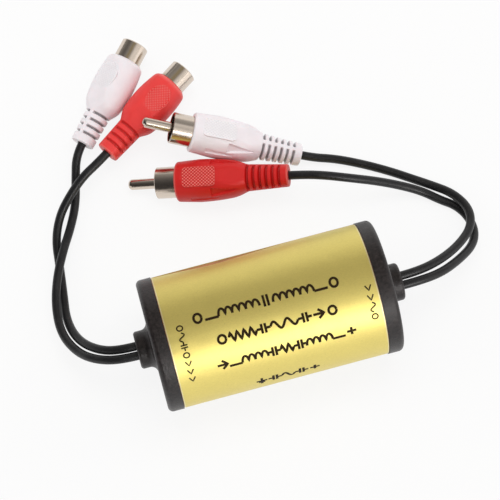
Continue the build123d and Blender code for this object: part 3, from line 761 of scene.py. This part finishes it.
def plug_profile(size, x):
    """Radius of a plug's boot at x: a taper, two arcs up to the belly, then a straight fall."""
    belly, hip = (size.belly_x, size.belly_d / 2), (size.hip_x, size.hip_d / 2)
    taper = (size.tail_d + (size.neck_d - size.tail_d) * x / size.neck_x) / 2
    steep = joined_arc(np.minimum(x, size.hip_x), belly, hip, (size.neck_x, size.neck_d / 2))
    back = arc_height(np.clip(x, size.hip_x, size.belly_x), belly, hip)
    share = (x - size.belly_x) / (size.length - size.front_r - size.belly_x)
    fall = (size.belly_d + (size.front_d - size.belly_d) * share) / 2
    grip = np.where(x < size.hip_x, steep, np.where(x < size.belly_x, back, fall))
    near_neck = np.abs(x - size.neck_x) < JOIN_REACH
    return np.where(near_neck, soft_max(taper, grip, JOIN_SOFT), np.where(x < size.neck_x, taper, grip))


def jack_profile(size, x):
    """Radius of a jack's boot at x."""
    taper = (size.tail_d + (size.neck_d - size.tail_d) * x / size.neck_x) / 2
    shoulder_x = size.neck_x + size.shoulder_l
    steep = size.neck_d / 2 + (x - size.neck_x) * (size.shoulder_d - size.neck_d) / 2 / size.shoulder_l
    belly = (size.belly_x, size.belly_d / 2)
    rise = arc_height(np.minimum(x, size.belly_x), belly, (shoulder_x, size.shoulder_d / 2))
    fall = arc_height(np.maximum(x, size.belly_x), belly, (size.length - size.front_r, size.front_d / 2))
    grip = np.where(x < size.belly_x, rise, fall)
    grip = np.where(x < shoulder_x + JOIN_REACH, soft_min(steep, grip, JOIN_SOFT), grip)
    return np.where(x < size.neck_x + JOIN_REACH, soft_max(taper, grip, BLEND_SOFT), grip)


def cut_sides(angle, ends, floor_r, half_w, soft, x, turn, out):
    """Cuts four flat floors between two places along the boot, at that angle from both pads."""
    for base in (angle, -angle, 180 - angle, 180 + angle):
        off = wrap_angle(turn - math.radians(base))
        near = np.abs(off) < CUT_REACH
        floor = floor_r / np.cos(np.where(near, off, 0.0))
        across = window(np.abs(np.sin(off)) * out, BELOW_ALL, half_w, soft)
        inside = near * across * window(x, *ends, CUT_SOFT)
        out = out + (np.minimum(out, floor) - out) * inside
    return out


def cut_wedges(size, grip, x, turn, out):
    """The finger recesses behind a plug's pads: flat floors that widen and deepen towards the front."""
    heel_x, wide_x = grip.wedge_x - grip.wedge_l / 2, grip.wedge_x + grip.wedge_l / 2
    heel_r = np.interp(heel_x, (size.neck_x, size.hip_x), (size.neck_d / 2, size.hip_d / 2))
    wide_r = np.interp(wide_x, (size.hip_x, size.belly_x), (size.hip_d / 2, size.belly_d / 2))
    run = np.clip((x - heel_x) / grip.wedge_l, 0.0, 1.0)
    floor_r = heel_r + (wide_r - grip.wedge_depth - heel_r) * run
    half_w = grip.wedge_w / 2 * run
    return cut_sides(grip.wedge_angle, (heel_x, wide_x), floor_r, half_w, CUT_SOFT, x, turn, out)


def cut_facets(size, grip, x, turn, out):
    """The long facets on a plug's sides, narrower towards the tail."""
    start, stop = grip.facet_x - grip.facet_l / 2, grip.facet_x + grip.facet_l / 2
    run = np.clip((x - start) / grip.facet_l, 0.0, 1.0)
    floor_r = size.belly_d / 2 - grip.facet_depth
    half_w = grip.facet_w / 2 * (FACET_NARROW + (1 - FACET_NARROW) * run)
    return cut_sides(grip.facet_angle, (start, stop), floor_r, half_w, FACET_SOFT, x, turn, out)


def cut_flats(size, grip, x, turn, out):
    """The flats under the pads, each with a ramp down to the neck."""
    level, neck_r = size.belly_d / 2 - size.pad_sunk, size.neck_d / 2 + grip.ramp_rise
    pad_x = size.length - size.pad_back
    ramp = neck_r + (level - neck_r) * (x - size.neck_x) / (pad_x - size.pad_l / 2 - size.neck_x)
    plane = np.minimum(ramp, level - FLAT_SUNK)
    for facing in (0.0, math.pi):
        off = wrap_angle(turn - facing)
        ahead = np.abs(off) < FLAT_REACH
        cos = np.where(ahead, np.cos(off), 1.0)
        half_w, stop = size.pad_w / 2 + FLAT_PAST[0], pad_x + size.pad_l / 2 + FLAT_PAST[1]
        inside = ahead * window(np.abs(out * np.sin(off)), BELOW_ALL, half_w, FLAT_SOFT[0])
        inside = inside * window(x, size.neck_x, stop, FLAT_SOFT[1])
        out = out + (soft_min(out, plane / cos, BLEND_SOFT) - out) * inside
    return out


def slot_share(size, grip, rib_at, x, turn):
    """How far a point lies in the flex slots of the tail, which two ribs cross."""
    cut = np.zeros_like(x)
    for i in range(size.slots):
        start = size.slot_x + i * size.slot_pitch
        cut = np.maximum(cut, window(x, start, start + size.slot_w, SLOT_SOFT))
    half_rib = math.radians(grip.rib_angle) / 2
    for base in (rib_at, rib_at + 180):
        off = np.abs(wrap_angle(turn - math.radians(base)))
        cut = cut * smooth_step(off, half_rib + RIB_SOFT[0], half_rib + RIB_SOFT[1])
    return cut


def boot_surface(size, grip, jack, rib_at, stations):
    """Rows of points of a boot's skin and how far each is worn pale or darkened with painted shade; its pads
    face 0 and 180 degrees.
    """
    angles = np.arange(grip.turns) * 2 * math.pi / grip.turns
    x, r, rub = (np.array([station[i] for station in stations])[:, None] + 0 * angles for i in range(3))
    turn = 0 * x + angles
    out = (jack_profile if jack else plug_profile)(size, x)
    out = cut_flats(size, grip, x, turn, out)
    if not jack:
        out = cut_wedges(size, grip, x, turn, out)
        out = cut_facets(size, grip, x, turn, out)
    for parting in (90.0, -90.0):
        off = np.abs(wrap_angle(turn - math.radians(parting)))
        out = out + grip.seam_h * (1 - smooth_step(off * out, *PARTING_SOFT))
    slot = slot_share(size, grip, rib_at, x, turn)
    own = r == OWN_SIDE
    radius = np.where(own, out - grip.slot_depth * slot, r)
    # Painted shade: points in the slots get a value below 0, which darkens them
    rub = np.where(own, -slot, rub)
    return np.stack([x, radius * np.sin(turn), radius * np.cos(turn)], -1), rub


def boot_stations(size, grip, cord_d, jack):
    """Stations of a boot's outline as (x, radius or OWN_SIDE, rub)."""
    socket_r = cord_d / 2 + SOCKET_PLAY
    tail_r, front_r = size.tail_d / 2, size.front_d / 2
    nose = size.length - size.front_r
    arc = [math.radians(a) for a in range(0, 91, 15)]
    stations = [(SOCKET_DEPTH, socket_r, 0.0), (SOCKET_LIP, socket_r, 0.0),
                (0.0, socket_r + SOCKET_LIP, 0.0)]
    stations += [(TAIL_EDGE_R - TAIL_EDGE_R * math.cos(a),
                  tail_r - TAIL_EDGE_R + TAIL_EDGE_R * math.sin(a), TAIL_RUB) for a in arc]
    walls = [size.slot_x + i * size.slot_pitch + d for i in range(size.slots) for d in (0.0, size.slot_w)]
    if not jack:
        walls += [grip.wedge_x + grip.wedge_l / 2]
        walls += [grip.facet_x - grip.facet_l / 2, grip.facet_x + grip.facet_l / 2]
    lines = list(np.arange(TAIL_EDGE_R + STATION_STEP, nose, STATION_STEP))
    lines += [wall + d * MM for wall in walls for d in WALL_STEPS_MM]
    last = 0.0
    for x in sorted(lines):
        if x - last > LEAST_STEP and x < nose - NOSE_GAP:
            stations.append((x, OWN_SIDE, 0.0))
            last = x
    stations += [(nose + size.front_r * math.sin(a), front_r - size.front_r + size.front_r * math.cos(a),
                  FRONT_RUB * math.sin(2 * a)) for a in arc]
    bore_r = size.bore_d / 2
    stations += [(size.length, bore_r + BORE_LIP, 0.0), (size.length - BORE_LIP, bore_r, 0.0),
                 (size.length - size.seat, bore_r, 0.0)]
    return stations


def pad_rows(size, corner, rows, oval):
    """Places of a pad's rows along it, and the pad's half width at each."""
    half_l, half_w = size.pad_l / 2, size.pad_w / 2
    if oval:
        u = -half_l * np.cos(np.linspace(0.03, math.pi - 0.03, rows))
        return u, half_w * np.sqrt(1 - (u / half_l) ** 2)
    u = np.linspace(-half_l, half_l, rows)
    past = np.maximum(np.abs(u) - (half_l - corner), 0.0)
    return u, half_w - corner + np.sqrt(np.maximum(corner**2 - past**2, 0.0))


def diamonds(grip, u, v):
    """The ridges between the diamonds, from 0 to 1, and the places where two of them cross."""
    ridge, crossing = np.zeros_like(v), np.ones_like(v)
    for sign in (1, -1):
        phase = u / grip.knurl_l + sign * v / grip.knurl_w
        line = 1 - smooth_step(np.abs(phase - np.round(phase)), *RIDGE_FALL)
        ridge, crossing = np.maximum(ridge, line), crossing * line
    return ridge, crossing


def add_pads(shell, size, grip, depth, oval):
    """A grip pad on each side: a closed skin whose top is cut into diamonds, with wear and a painted
    highlight on the ridges and painted shade between.
    """
    level = size.belly_d / 2 - size.pad_sunk
    rows, columns = int(size.pad_l / PAD_STEP), int(size.pad_w / PAD_STEP)
    u, width = pad_rows(size, grip.pad_corner_r, rows, oval)
    v = width[:, None] * np.linspace(-1, 1, columns)[None]
    u = np.repeat(u[:, None], columns, 1)
    ridge, crossing = diamonds(grip, u, v)
    edge = np.minimum(width[:, None] - np.abs(v), size.pad_l / 2 - np.abs(u))
    inner = smooth_step(edge, 0.0, PAD_RIM)
    # Painted shade in the valleys between the ridges, less where the knurl is shallower
    painted_shade = PAD_WEAR_AND_PAINTED_LIGHT["painted_shade"] * depth / grip.knurl_depth
    rub = inner * (PAD_WEAR_AND_PAINTED_LIGHT["ridge"] * ridge**3 + PAD_WEAR_AND_PAINTED_LIGHT["crossing"] * crossing - painted_shade * (1 - ridge))
    rub = rub + PAD_WEAR_AND_PAINTED_LIGHT["rim"] * (1 - inner)
    rub = rub * (PAD_WEAR_AND_PAINTED_LIGHT["oval"] if oval else 1.0)
    reach, drop = PAD_ROUND
    height = level - depth * (1 - ridge) * inner - drop * (1 - smooth_step(edge, 0.0, reach))
    top = np.stack([u + size.length - size.pad_back, v, height], -1)
    rim = grid_rim(rows, columns)
    wall = top.reshape(-1, 3)[rim]
    wall[:, 2] = level - PAD_ROOT
    for facing in (0.0, math.pi):
        cos, sin = math.cos(facing), math.sin(facing)
        turn = np.array([[1, 0, 0], [0, cos, -sin], [0, sin, cos]])
        start = shell.add_points(top @ turn.T, rub)
        shell.faces += grid_faces(rows, columns, start, closed=False)
        foot = shell.add_points(wall @ turn.T)
        for (i, a), (j, b) in next_pairs(list(enumerate(rim))):
            shell.faces.append((start + a, start + b, foot + j, foot + i))
        shell.faces.append(tuple(range(foot, foot + len(rim))))


def connector_matrix(name):
    """Where a connector lies; its own X runs from the tail to the mating end."""
    tail, heading, pitch, roll = CONNECTORS_MM[name]
    turn = Matrix.Rotation(math.radians(heading), 4, "Z") @ Matrix.Rotation(math.radians(-pitch), 4, "Y")
    return Matrix.Translation(Vector(tail) * MM) @ turn @ Matrix.Rotation(math.radians(roll), 4, "X")


def build_boot(scene, name, material):
    """One boot with its pads; ribs cross its slots under the pads if it's white, at its sides if red."""
    grip, cord = scene.isolator_grip, scene.isolator_cords
    colour, kind = name.split("_")
    jack, red = kind == "jack", colour == "red"
    size = scene.isolator_jack_boot if jack else scene.isolator_plug_boot
    stations = boot_stations(size, grip, cord.diameter, jack)
    shell = Shell()
    shell.add_turned(*boot_surface(size, grip, jack, 90.0 if red else 0.0, stations))
    add_pads(shell, size, grip, grip.knurl_depth if red else grip.faint_knurl_depth, jack)
    return shell.to_object(f"{name}_boot_skin", connector_matrix(name), material)


def finish_nodes(names, material):
    """Gives carried-over solids their finish."""
    for name in names:
        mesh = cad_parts[name].data
        mesh.materials.clear()
        mesh.materials.append(material)


def cylinder_point(x, angle, radius, axis_z):
    """A point on the tube; angle runs from the top towards the near side."""
    a = math.radians(angle)
    return (x, -radius * math.sin(a), axis_z + radius * math.cos(a))


class ISOLATOR_OT_cords(bpy.types.Operator):
    """Lay the four cords from the caps' spouts to the boots"""

    bl_idname = "isolator.cords"
    bl_label = "Cords"

    def execute(self, context):
        diameter = context.scene.isolator_cords.diameter
        jacket = made_once(cord_jacket, context.scene.isolator_finishes)
        for name, route in CORD_ROUTES_MM.items():
            curve = bpy.data.curves.new(f"{name}_cord_line", "CURVE")
            curve.dimensions = "3D"
            curve.bevel_depth = diameter / 2
            curve.bevel_resolution = 10
            curve.resolution_u = 12
            curve.use_fill_caps = True
            spline = curve.splines.new("NURBS")
            spline.points.add(len(route) - 1)
            for point, place in zip(spline.points, route):
                point.co = (*(c * MM for c in place), 1.0)
            spline.order_u = 3
            spline.use_endpoint_u = True
            curve.materials.append(jacket)
            piece = bpy.data.objects.new(f"{name}_flex", curve)
            context.scene.collection.objects.link(piece)
            keep(piece, "cord_jacket", f"{name}_cord")
        return {"FINISHED"}


class ISOLATOR_OT_boots(bpy.types.Operator):
    """Mould the boots of both plugs and both jacks"""

    bl_idname = "isolator.boots"
    bl_label = "Boots"

    def execute(self, context):
        finish = context.scene.isolator_finishes
        # The red jack's paler red and the red plug's darker red are painted light, lit and shaded copies of
        # one red
        skins = {"white_jack": finish.white, "white_plug": finish.white,
                 "red_jack": finish.red_jack, "red_plug": finish.red}
        for name, skin in skins.items():
            colour = name.split("_")[0]
            wear_and_highlight_colour, painted_shade = getattr(finish, f"{colour}_rub"), getattr(finish, f"{colour}_grime")
            material = soft_plastic(f"{name}_plastic", skin, wear_and_highlight_colour, painted_shade)
            keep(build_boot(context.scene, name, material), f"{colour}_boot", f"{name}_boot")
        return {"FINISHED"}


class ISOLATOR_OT_metal(bpy.types.Operator):
    """Finish the collars, pins, shells, contacts and insulators"""

    bl_idname = "isolator.metal"
    bl_label = "Metal and insulators"

    def execute(self, context):
        finish = context.scene.isolator_finishes
        nickel = made_once(nickel_plate, finish)
        white = made_once(insulator_plastic, finish)
        for colour in COLOURS:
            finish_nodes([f"{colour}_plug_collar", f"{colour}_plug_pin", f"{colour}_jack_shell",
                          f"{colour}_jack_contact"], nickel)
            finish_nodes([f"{colour}_plug_insulator", f"{colour}_jack_insulator"], white)
        return {"FINISHED"}


class ISOLATOR_OT_case(bpy.types.Operator):
    """Finish the caps and the paper tube"""

    bl_idname = "isolator.case"
    bl_label = "Caps and tube"

    def execute(self, context):
        finish = context.scene.isolator_finishes
        finish_nodes(["plug_end_cap", "jack_end_cap"], made_once(charcoal_plastic, finish))
        finish_nodes(["case_tube"], made_once(wound_paper, finish))
        return {"FINISHED"}


class ISOLATOR_OT_inside(bpy.types.Operator):
    """Finish the board, the transformers and the inner leads"""

    bl_idname = "isolator.inside"
    bl_label = "Board and transformers"

    def execute(self, context):
        finish = context.scene.isolator_finishes
        finish_nodes(["circuit_board"], made_once(phenolic_board, finish))
        finish_nodes(["plug_end_leads", "jack_end_leads"], made_once(lead_sleeves, finish))
        parts = {"core": stamped_steel, "bobbin": natural_nylon, "terminals": tinned_wire,
                 "primary_winding": enamelled_copper, "secondary_winding": enamelled_copper}
        for part, make in parts.items():
            names = [f"{side}_transformer_{part}" for side in ("left", "right")]
            finish_nodes(names, made_once(make, finish))
        return {"FINISHED"}


def foil_sizes():
    """Half length, radius and axis height of the foil, from its solid."""
    low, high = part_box("foil_wrap")
    return high.x, (high.z - low.z) / 2, (high.z + low.z) / 2


def seam_edge(foil, share):
    """Angle of the foil's upper edge above the far horizontal, at a share of the way from the jack end."""
    bow = math.exp(-(((share - foil.bow_place) / foil.bow_spread) ** 2))
    return foil.seam_high + foil.seam_bow * bow


def foil_dent(x, turn):
    """Depth of the foil's slow waves, from 0 to 1.1, at x and a turn round the tube in radians."""
    wave = math.sin(x * 310 + 1.3) * math.sin(turn * 3 + x * 140)
    wave += 0.6 * math.sin(x * 790 + turn * 5)
    return 0.55 + 0.34 * wave


class ISOLATOR_OT_foil(bpy.types.Operator):
    """Wrap the foil round the tube, with its bowed seam on the far side"""

    bl_idname = "isolator.foil"
    bl_label = "Foil"

    def execute(self, context):
        foil = context.scene.isolator_foil
        half, radius, axis_z = foil_sizes()
        rows, columns = foil.rows, foil.columns
        outer, inner = [], []
        for i in range(rows):
            share = i / (rows - 1)
            x = -half + 2 * half * share
            first, last = -90 + seam_edge(foil, share), 270 + foil.seam_low
            for j in range(columns):
                angle = first + (last - first) * j / (columns - 1)
                r = radius - foil.wave * foil_dent(x, math.radians(angle))
                outer.append(cylinder_point(x, angle, r, axis_z))
                inner.append(cylinder_point(x, angle, radius - foil.thickness, axis_z))
        shell = Shell()
        top = shell.add_points(outer)
        low = shell.add_points(inner)
        shell.faces += grid_faces(rows, columns, top, closed=False)
        shell.faces += [face[::-1] for face in grid_faces(rows, columns, low, closed=False)]
        for a, b in next_pairs(grid_rim(rows, columns)):
            shell.faces.append((top + a, top + b, low + b, low + a))
        material = made_once(gold_foil, context.scene.isolator_finishes)
        keep(shell.to_object("foil_label", Matrix.Identity(4), material, 50.0), "gold_foil", "foil_wrap")
        return {"FINISHED"}


class Press:
    """Prints strokes on the foil; a place is (x, arc), the arc measured from the top to the near side."""

    def __init__(self, foil):
        _, self.radius, self.axis_z = foil_sizes()
        self.top = self.radius + foil.ink_t
        self.under = self.radius - 2 * foil.wave
        self.shell = Shell()

    def lift(self, place, radius):
        x, arc = place
        return cylinder_point(x, math.degrees(arc / self.radius), radius, self.axis_z)

    def stroke(self, places, width):
        """A line of even width along places."""
        places = [Vector(p) for p in places]
        n = len(places)
        sides = []
        for i, p in enumerate(places):
            before, after = places[max(i - 1, 0)], places[min(i + 1, n - 1)]
            along = ((p - before).normalized() + (after - p).normalized()).normalized()
            across = Vector((-along.y, along.x)) * width / 2
            sides.append((p + across, p - across))
        low = self.shell.add_points([self.lift(q, self.under) for pair in sides for q in pair])
        top = self.shell.add_points([self.lift(q, self.top) for pair in sides for q in pair])
        for i in range(n - 1):
            a, b = 2 * i, 2 * (i + 1)
            self.shell.faces += [
                (top + a, top + b, top + b + 1, top + a + 1), (low + a + 1, low + b + 1, low + b, low + a),
                (low + a, low + b, top + b, top + a), (top + a + 1, top + b + 1, low + b + 1, low + a + 1)]
        e = 2 * (n - 1)
        self.shell.faces += [(low, top, top + 1, low + 1), (low + e + 1, top + e + 1, top + e, low + e)]


def spread(a, b, step):
    """Places from a to b, at most step apart."""
    a, b = Vector(a), Vector(b)
    n = max(1, math.ceil((b - a).length / step))
    return [tuple(a.lerp(b, i / n)) for i in range(n + 1)]


def oval(middle, across, up, steps=16, start=0.0, stop=360.0):
    """Places on an oval or a part of one."""
    turns = [math.radians(start + (stop - start) * i / steps) for i in range(steps + 1)]
    return [(middle[0] + across * math.cos(a), middle[1] + up * math.sin(a)) for a in turns]


def arch(middle_x):
    """One turn of a coil in the unit cell."""
    return oval((middle_x, 0.2), 0.25, 0.6, 10, 180.0, 0.0)


# Plain circuit signs as strokes in a unit cell, x to the right and y up
SIGNS = {
    "ring": [oval((0.5, 0.5), 0.28, 0.38)],
    "lead": [[(0.0, 0.2), (1.0, 0.2)]],
    "coil": [arch(0.25) + arch(0.75)[1:]],
    "bars": [[(0.36, 0.0), (0.36, 1.0)], [(0.64, 0.0), (0.64, 1.0)]],
    "wave": [[(i / 16, 0.5 + 0.36 * math.sin(i / 16 * 2 * math.pi)) for i in range(17)]],
    "zigzag": [[(0.0, 0.5), (0.12, 0.95), (0.37, 0.05), (0.62, 0.95), (0.87, 0.05), (1.0, 0.5)]],
    "arrow": [[(0.1, 0.5), (0.86, 0.5)], [(0.48, 0.92), (0.9, 0.5), (0.48, 0.08)]],
    "chevron": [[(0.2, 0.1), (0.75, 0.5), (0.2, 0.9)]],
    "plates": [[(0.0, 0.5), (0.38, 0.5)], [(0.38, 0.05), (0.38, 0.95)], [(0.64, 0.05), (0.64, 0.95)],
               [(0.64, 0.5), (1.0, 0.5)]],
    "earth": [[(0.5, 1.0), (0.5, 0.5)], [(0.1, 0.5), (0.9, 0.5)], [(0.26, 0.27), (0.74, 0.27)],
              [(0.4, 0.04), (0.6, 0.04)]],
    "cross": [[(0.14, 0.5), (0.86, 0.5)], [(0.5, 0.14), (0.5, 0.86)]],
}
CHANNEL = ("ring", "lead", "coil", "coil", "coil", "bars", "coil", "coil", "coil", "lead", "ring")
FILTER = ("ring", "zigzag", "zigzag", "plates", "wave", "wave", "plates", "arrow", "ring")
BRANCH = ("arrow", "lead", "coil", "coil", "plates", "zigzag", "plates", "coil", "coil", "lead", "cross")

# Rows of print: their middle along the tube and round it from the top, and a sign's length and height
PRINT_ROWS_MM = (
    (-1.0, -1.0, 3.95, 3.4, CHANNEL),
    (0.4, 6.5, 4.0, 3.1, FILTER),
    (1.6, 14.0, 3.75, 3.3, BRANCH),
    (0.5, 25.0, 3.9, 3.2, ("earth", "plates", "wave", "plates", "cross")),
)
# Columns of small print at the ends, which run round the tube
PRINT_COLUMNS_MM = (
    (-26.3, 8.3, 2.6, 2.2, ("ring", "wave", "plates", "ring", "chevron", "chevron", "chevron")),
    (27.7, 7.3, 2.8, 2.2, ("chevron", "chevron", "wave", "ring")),
)
# Longest step of a stroke, so that it follows the tube
BEND_STEP_MM = 0.8


def print_signs(press, row, width, upright):
    """A row of signs along the tube, or a column round it."""
    x, arc, step, height, signs = row
    for i, sign in enumerate(signs):
        along = (i - len(signs) / 2) * step
        for places in SIGNS[sign]:
            cell = [(along + px * step, (0.5 - py) * height) for px, py in places]
            if upright:
                cell = [(-b, a) for a, b in cell]
            fine = [q for a, b in zip(cell, cell[1:]) for q in spread(a, b, BEND_STEP_MM)[:-1]]
            press.stroke([((x + a) * MM, (arc + b) * MM) for a, b in (*fine, cell[-1])], width)


class ISOLATOR_OT_print(bpy.types.Operator):
    """Print plain circuit signs on the foil"""

    bl_idname = "isolator.label_print"
    bl_label = "Print"

    def execute(self, context):
        foil = context.scene.isolator_foil
        press = Press(foil)
        for row in PRINT_ROWS_MM:
            print_signs(press, row, foil.stroke, upright=False)
        for column in PRINT_COLUMNS_MM:
            print_signs(press, column, foil.fine_stroke, upright=True)
        material = made_once(printed_ink, context.scene.isolator_finishes)
        keep(press.shell.to_object("foil_print", Matrix.Identity(4), material), "gold_foil")
        return {"FINISHED"}


def aim(thing, place, target):
    """Puts a lamp or the camera at a place, looking at a target."""
    thing.location = place
    thing.rotation_mode = "QUATERNION"
    thing.rotation_quaternion = (Vector(target) - Vector(place)).to_track_quat("-Z", "Y")
    bpy.context.scene.collection.objects.link(thing)


def add_softbox(name, place, target, size, power):
    """A rectangular lamp for the dull light; what shines sees the room's panels instead."""
    lamp = bpy.data.lights.new(name, "AREA")
    lamp.shape = "RECTANGLE"
    lamp.size, lamp.size_y = size
    lamp.energy = power
    box = bpy.data.objects.new(name, lamp)
    box.visible_glossy = False
    aim(box, place, target)


def square_mesh(name, width, material):
    mesh = bpy.data.meshes.new(name)
    w = width / 2
    mesh.from_pydata([(-w, -w, 0), (w, -w, 0), (w, w, 0), (-w, w, 0)], [], [(0, 1, 2, 3)])
    mesh.materials.append(material)
    return mesh


def ray(m, kind):
    """1 for rays of a kind and 0 for others."""
    return m.add("ShaderNodeLightPath", out=f"Is {kind} Ray")


def seen_directly(m, shine=1.0):
    """1 for rays from the camera or through something clear, and shine for those from a shiny surface."""
    seen = m.math("MAXIMUM", ray(m, "Camera"), ray(m, "Transmission"))
    return m.math("MAXIMUM", seen, ray(m, "Glossy") * shine)


def floor_material(stage):
    """Pale floor: plain white to the camera and to shiny surfaces, with the object's shadow kept."""
    m = new_shade("pale_floor")
    plain = m.add("ShaderNodeBsdfDiffuse", {}, {"Color": (0.86, 0.86, 0.86, 1.0)})
    white = m.add("ShaderNodeEmission", {}, {"Color": (1.0, 1.0, 1.0, 1.0), "Strength": 1.0})
    factor = seen_directly(m, stage.floor_shine) * stage.floor_glow
    m.output(m.add("ShaderNodeMixShader", {}, {0: factor, 1: plain, 2: white}))
    return m.owner


# Where the zones of the room that shiny surfaces see start and end, as tangents of the angle between
# straight up and the right or the front
RIGHTWARD = {
    "left_wall": (-0.2, -1.2), "far_left": (-1.2, -2.4), "ceiling": (-0.6, 0.05), "middle": (-0.2, 0.02),
    "wall": (0.0, 0.14), "right_side": (0.25, 0.6), "gap": (0.35, 0.22), "panel_end": (0.7, 1.1),
    "warm": (-0.12, 0.04), "warm_end": (0.3, 0.15),
}
FORWARD = {
    "ceiling": (-3.2, -1.0), "ceiling_back": (-1.1, -0.2), "right_side": (-0.4, 0.0),
    "left_wall": (0.3, -0.3), "gap": (-0.05, 0.2), "wall": (0.80, 0.95), "panel_top": (2.0, 3.0),
}
ROOM_TINT = (1.0, 0.98, 0.96)
WARM_TINT = (1.0, 0.86, 0.54)
# Least upward share of a direction, so that its tangents stay finite
LEAST_UP = 0.02


def room(stage):
    """Even pale room for dull light; what shines sees a dark ceiling, a front panel and other zones."""
    world = bpy.data.worlds.new("room")
    m = Shade(world)
    ahead = m.add("ShaderNodeTexCoord", out="Generated")
    x, y, z = (m.add("ShaderNodeSeparateXYZ", {}, {0: ahead}, out=letter) for letter in "XYZ")
    up = m.math("MAXIMUM", z, LEAST_UP)
    right, front = x / up, -1.0 * y / up
    to_right = {zone: m.rise(right, *ends) for zone, ends in RIGHTWARD.items()}
    to_front = {zone: m.rise(front, *ends) for zone, ends in FORWARD.items()}

    wall = to_front["wall"]
    beside = to_right["right_side"] * to_front["right_side"] * (1.0 - wall)
    dark = to_front["ceiling"] * (1.0 - wall * to_right["middle"]) * (1.0 - beside)
    dark = dark * (1.0 - wall * to_right["far_left"])
    dark = dark * (1.0 - to_front["gap"] * to_right["middle"] * to_right["gap"])
    panel = to_right["wall"] * (1.0 - to_right["panel_end"]) * wall * (1.0 - to_front["panel_top"])
    ceiling = stage.ceiling_left + (stage.ceiling_level - stage.ceiling_left) * to_right["ceiling"]
    ceiling = ceiling + stage.ceiling_back * (1.0 - to_front["ceiling_back"])

    level = 1.0 + (stage.left_level - 1.0) * to_right["left_wall"] * to_front["left_wall"]
    level = level + (ceiling - level) * dark
    level = level + (stage.side_level - level) * beside
    level = level + (stage.wall_level - level) * wall * to_right["wall"]
    level = level + (stage.front_level - level) * panel
    seen, camera = seen_directly(m), ray(m, "Camera")
    strength = stage.world_level + (level - stage.world_level) * seen
    strength = strength + (1.0 - strength) * camera
    warm = dark * to_right["warm"] * to_right["warm_end"] * seen * (1.0 - camera)
    tint = m.mix(warm, ROOM_TINT, WARM_TINT)
    m.output(m.add("ShaderNodeBackground", {}, {"Color": tint, "Strength": strength}))
    bpy.context.scene.world = world


# Softboxes: place over what they face, width and height, and the setting that has their power
SOFTBOXES = {
    "top_softbox": ((0.10, 0.20, 0.85), (0.6, 0.4), "top_power"),
    "left_softbox": ((-0.8, 0.15, 0.45), (0.3, 0.5), "side_power"),
    "right_softbox": ((0.8, 0.15, 0.45), (0.3, 0.5), "side_power"),
}
# What they face, over the camera's target
LAMPS_FACE = Vector((0, 0, 0.015))


class ISOLATOR_OT_stage(bpy.types.Operator):
    """Set up the floor, the soft light and the camera"""

    bl_idname = "isolator.stage"
    bl_label = "Stage"

    def execute(self, context):
        stage = context.scene.isolator_stage
        context.scene.view_settings.view_transform = "Standard"
        room(stage)
        floor = bpy.data.objects.new("floor", square_mesh("floor", stage.floor_width, floor_material(stage)))
        context.scene.collection.objects.link(floor)
        target = Vector(stage.target)
        middle = target + LAMPS_FACE
        for name, (place, size, power) in SOFTBOXES.items():
            add_softbox(name, middle + Vector(place), middle, size, getattr(stage, power))
        camera = bpy.data.objects.new("camera", bpy.data.cameras.new("camera"))
        e, a = math.radians(stage.elevation), math.radians(stage.azimuth)
        look = Vector((-math.sin(a) * math.cos(e), math.cos(a) * math.cos(e), -math.sin(e)))
        aim(camera, target - look * stage.distance, target)
        camera.data.lens = stage.focal_share * camera.data.sensor_width
        camera.data.clip_start, camera.data.clip_end = 0.01, 20.0
        context.scene.camera = camera
        return {"FINISHED"}


class ISOLATOR_PT_panel(bpy.types.Panel):
    """Steps that build the isolator"""

    bl_label = "Ground loop isolator"
    bl_idname = "ISOLATOR_PT_panel"
    bl_space_type = "VIEW_3D"
    bl_region_type = "UI"
    bl_category = "Isolator"

    def draw(self, context):
        for step in STEPS:
            self.layout.operator(step.bl_idname)


GROUPS = {
    "isolator_plug_boot": PlugBootSizes,
    "isolator_jack_boot": JackBootSizes,
    "isolator_grip": GripSizes,
    "isolator_foil": FoilSizes,
    "isolator_cords": CordSizes,
    "isolator_finishes": Finishes,
    "isolator_stage": StageSettings,
}
STEPS = (
    ISOLATOR_OT_stage,
    ISOLATOR_OT_case,
    ISOLATOR_OT_inside,
    ISOLATOR_OT_metal,
    ISOLATOR_OT_boots,
    ISOLATOR_OT_cords,
    ISOLATOR_OT_foil,
    ISOLATOR_OT_print,
)


def register():
    for group in (*GROUPS.values(), *STEPS, ISOLATOR_PT_panel):
        bpy.utils.register_class(group)
    for name, group in GROUPS.items():
        setattr(bpy.types.Scene, name, PointerProperty(type=group))


def unregister():
    for name in GROUPS:
        delattr(bpy.types.Scene, name)
    for group in (ISOLATOR_PT_panel, *reversed(STEPS), *reversed(tuple(GROUPS.values()))):
        bpy.utils.unregister_class(group)


def main():
    """Builds everything in order."""
    register()
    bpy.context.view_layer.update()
    for step in STEPS:
        group, name = step.bl_idname.split(".")
        getattr(getattr(bpy.ops, group), name)()


if __name__ == "__main__":
    main()
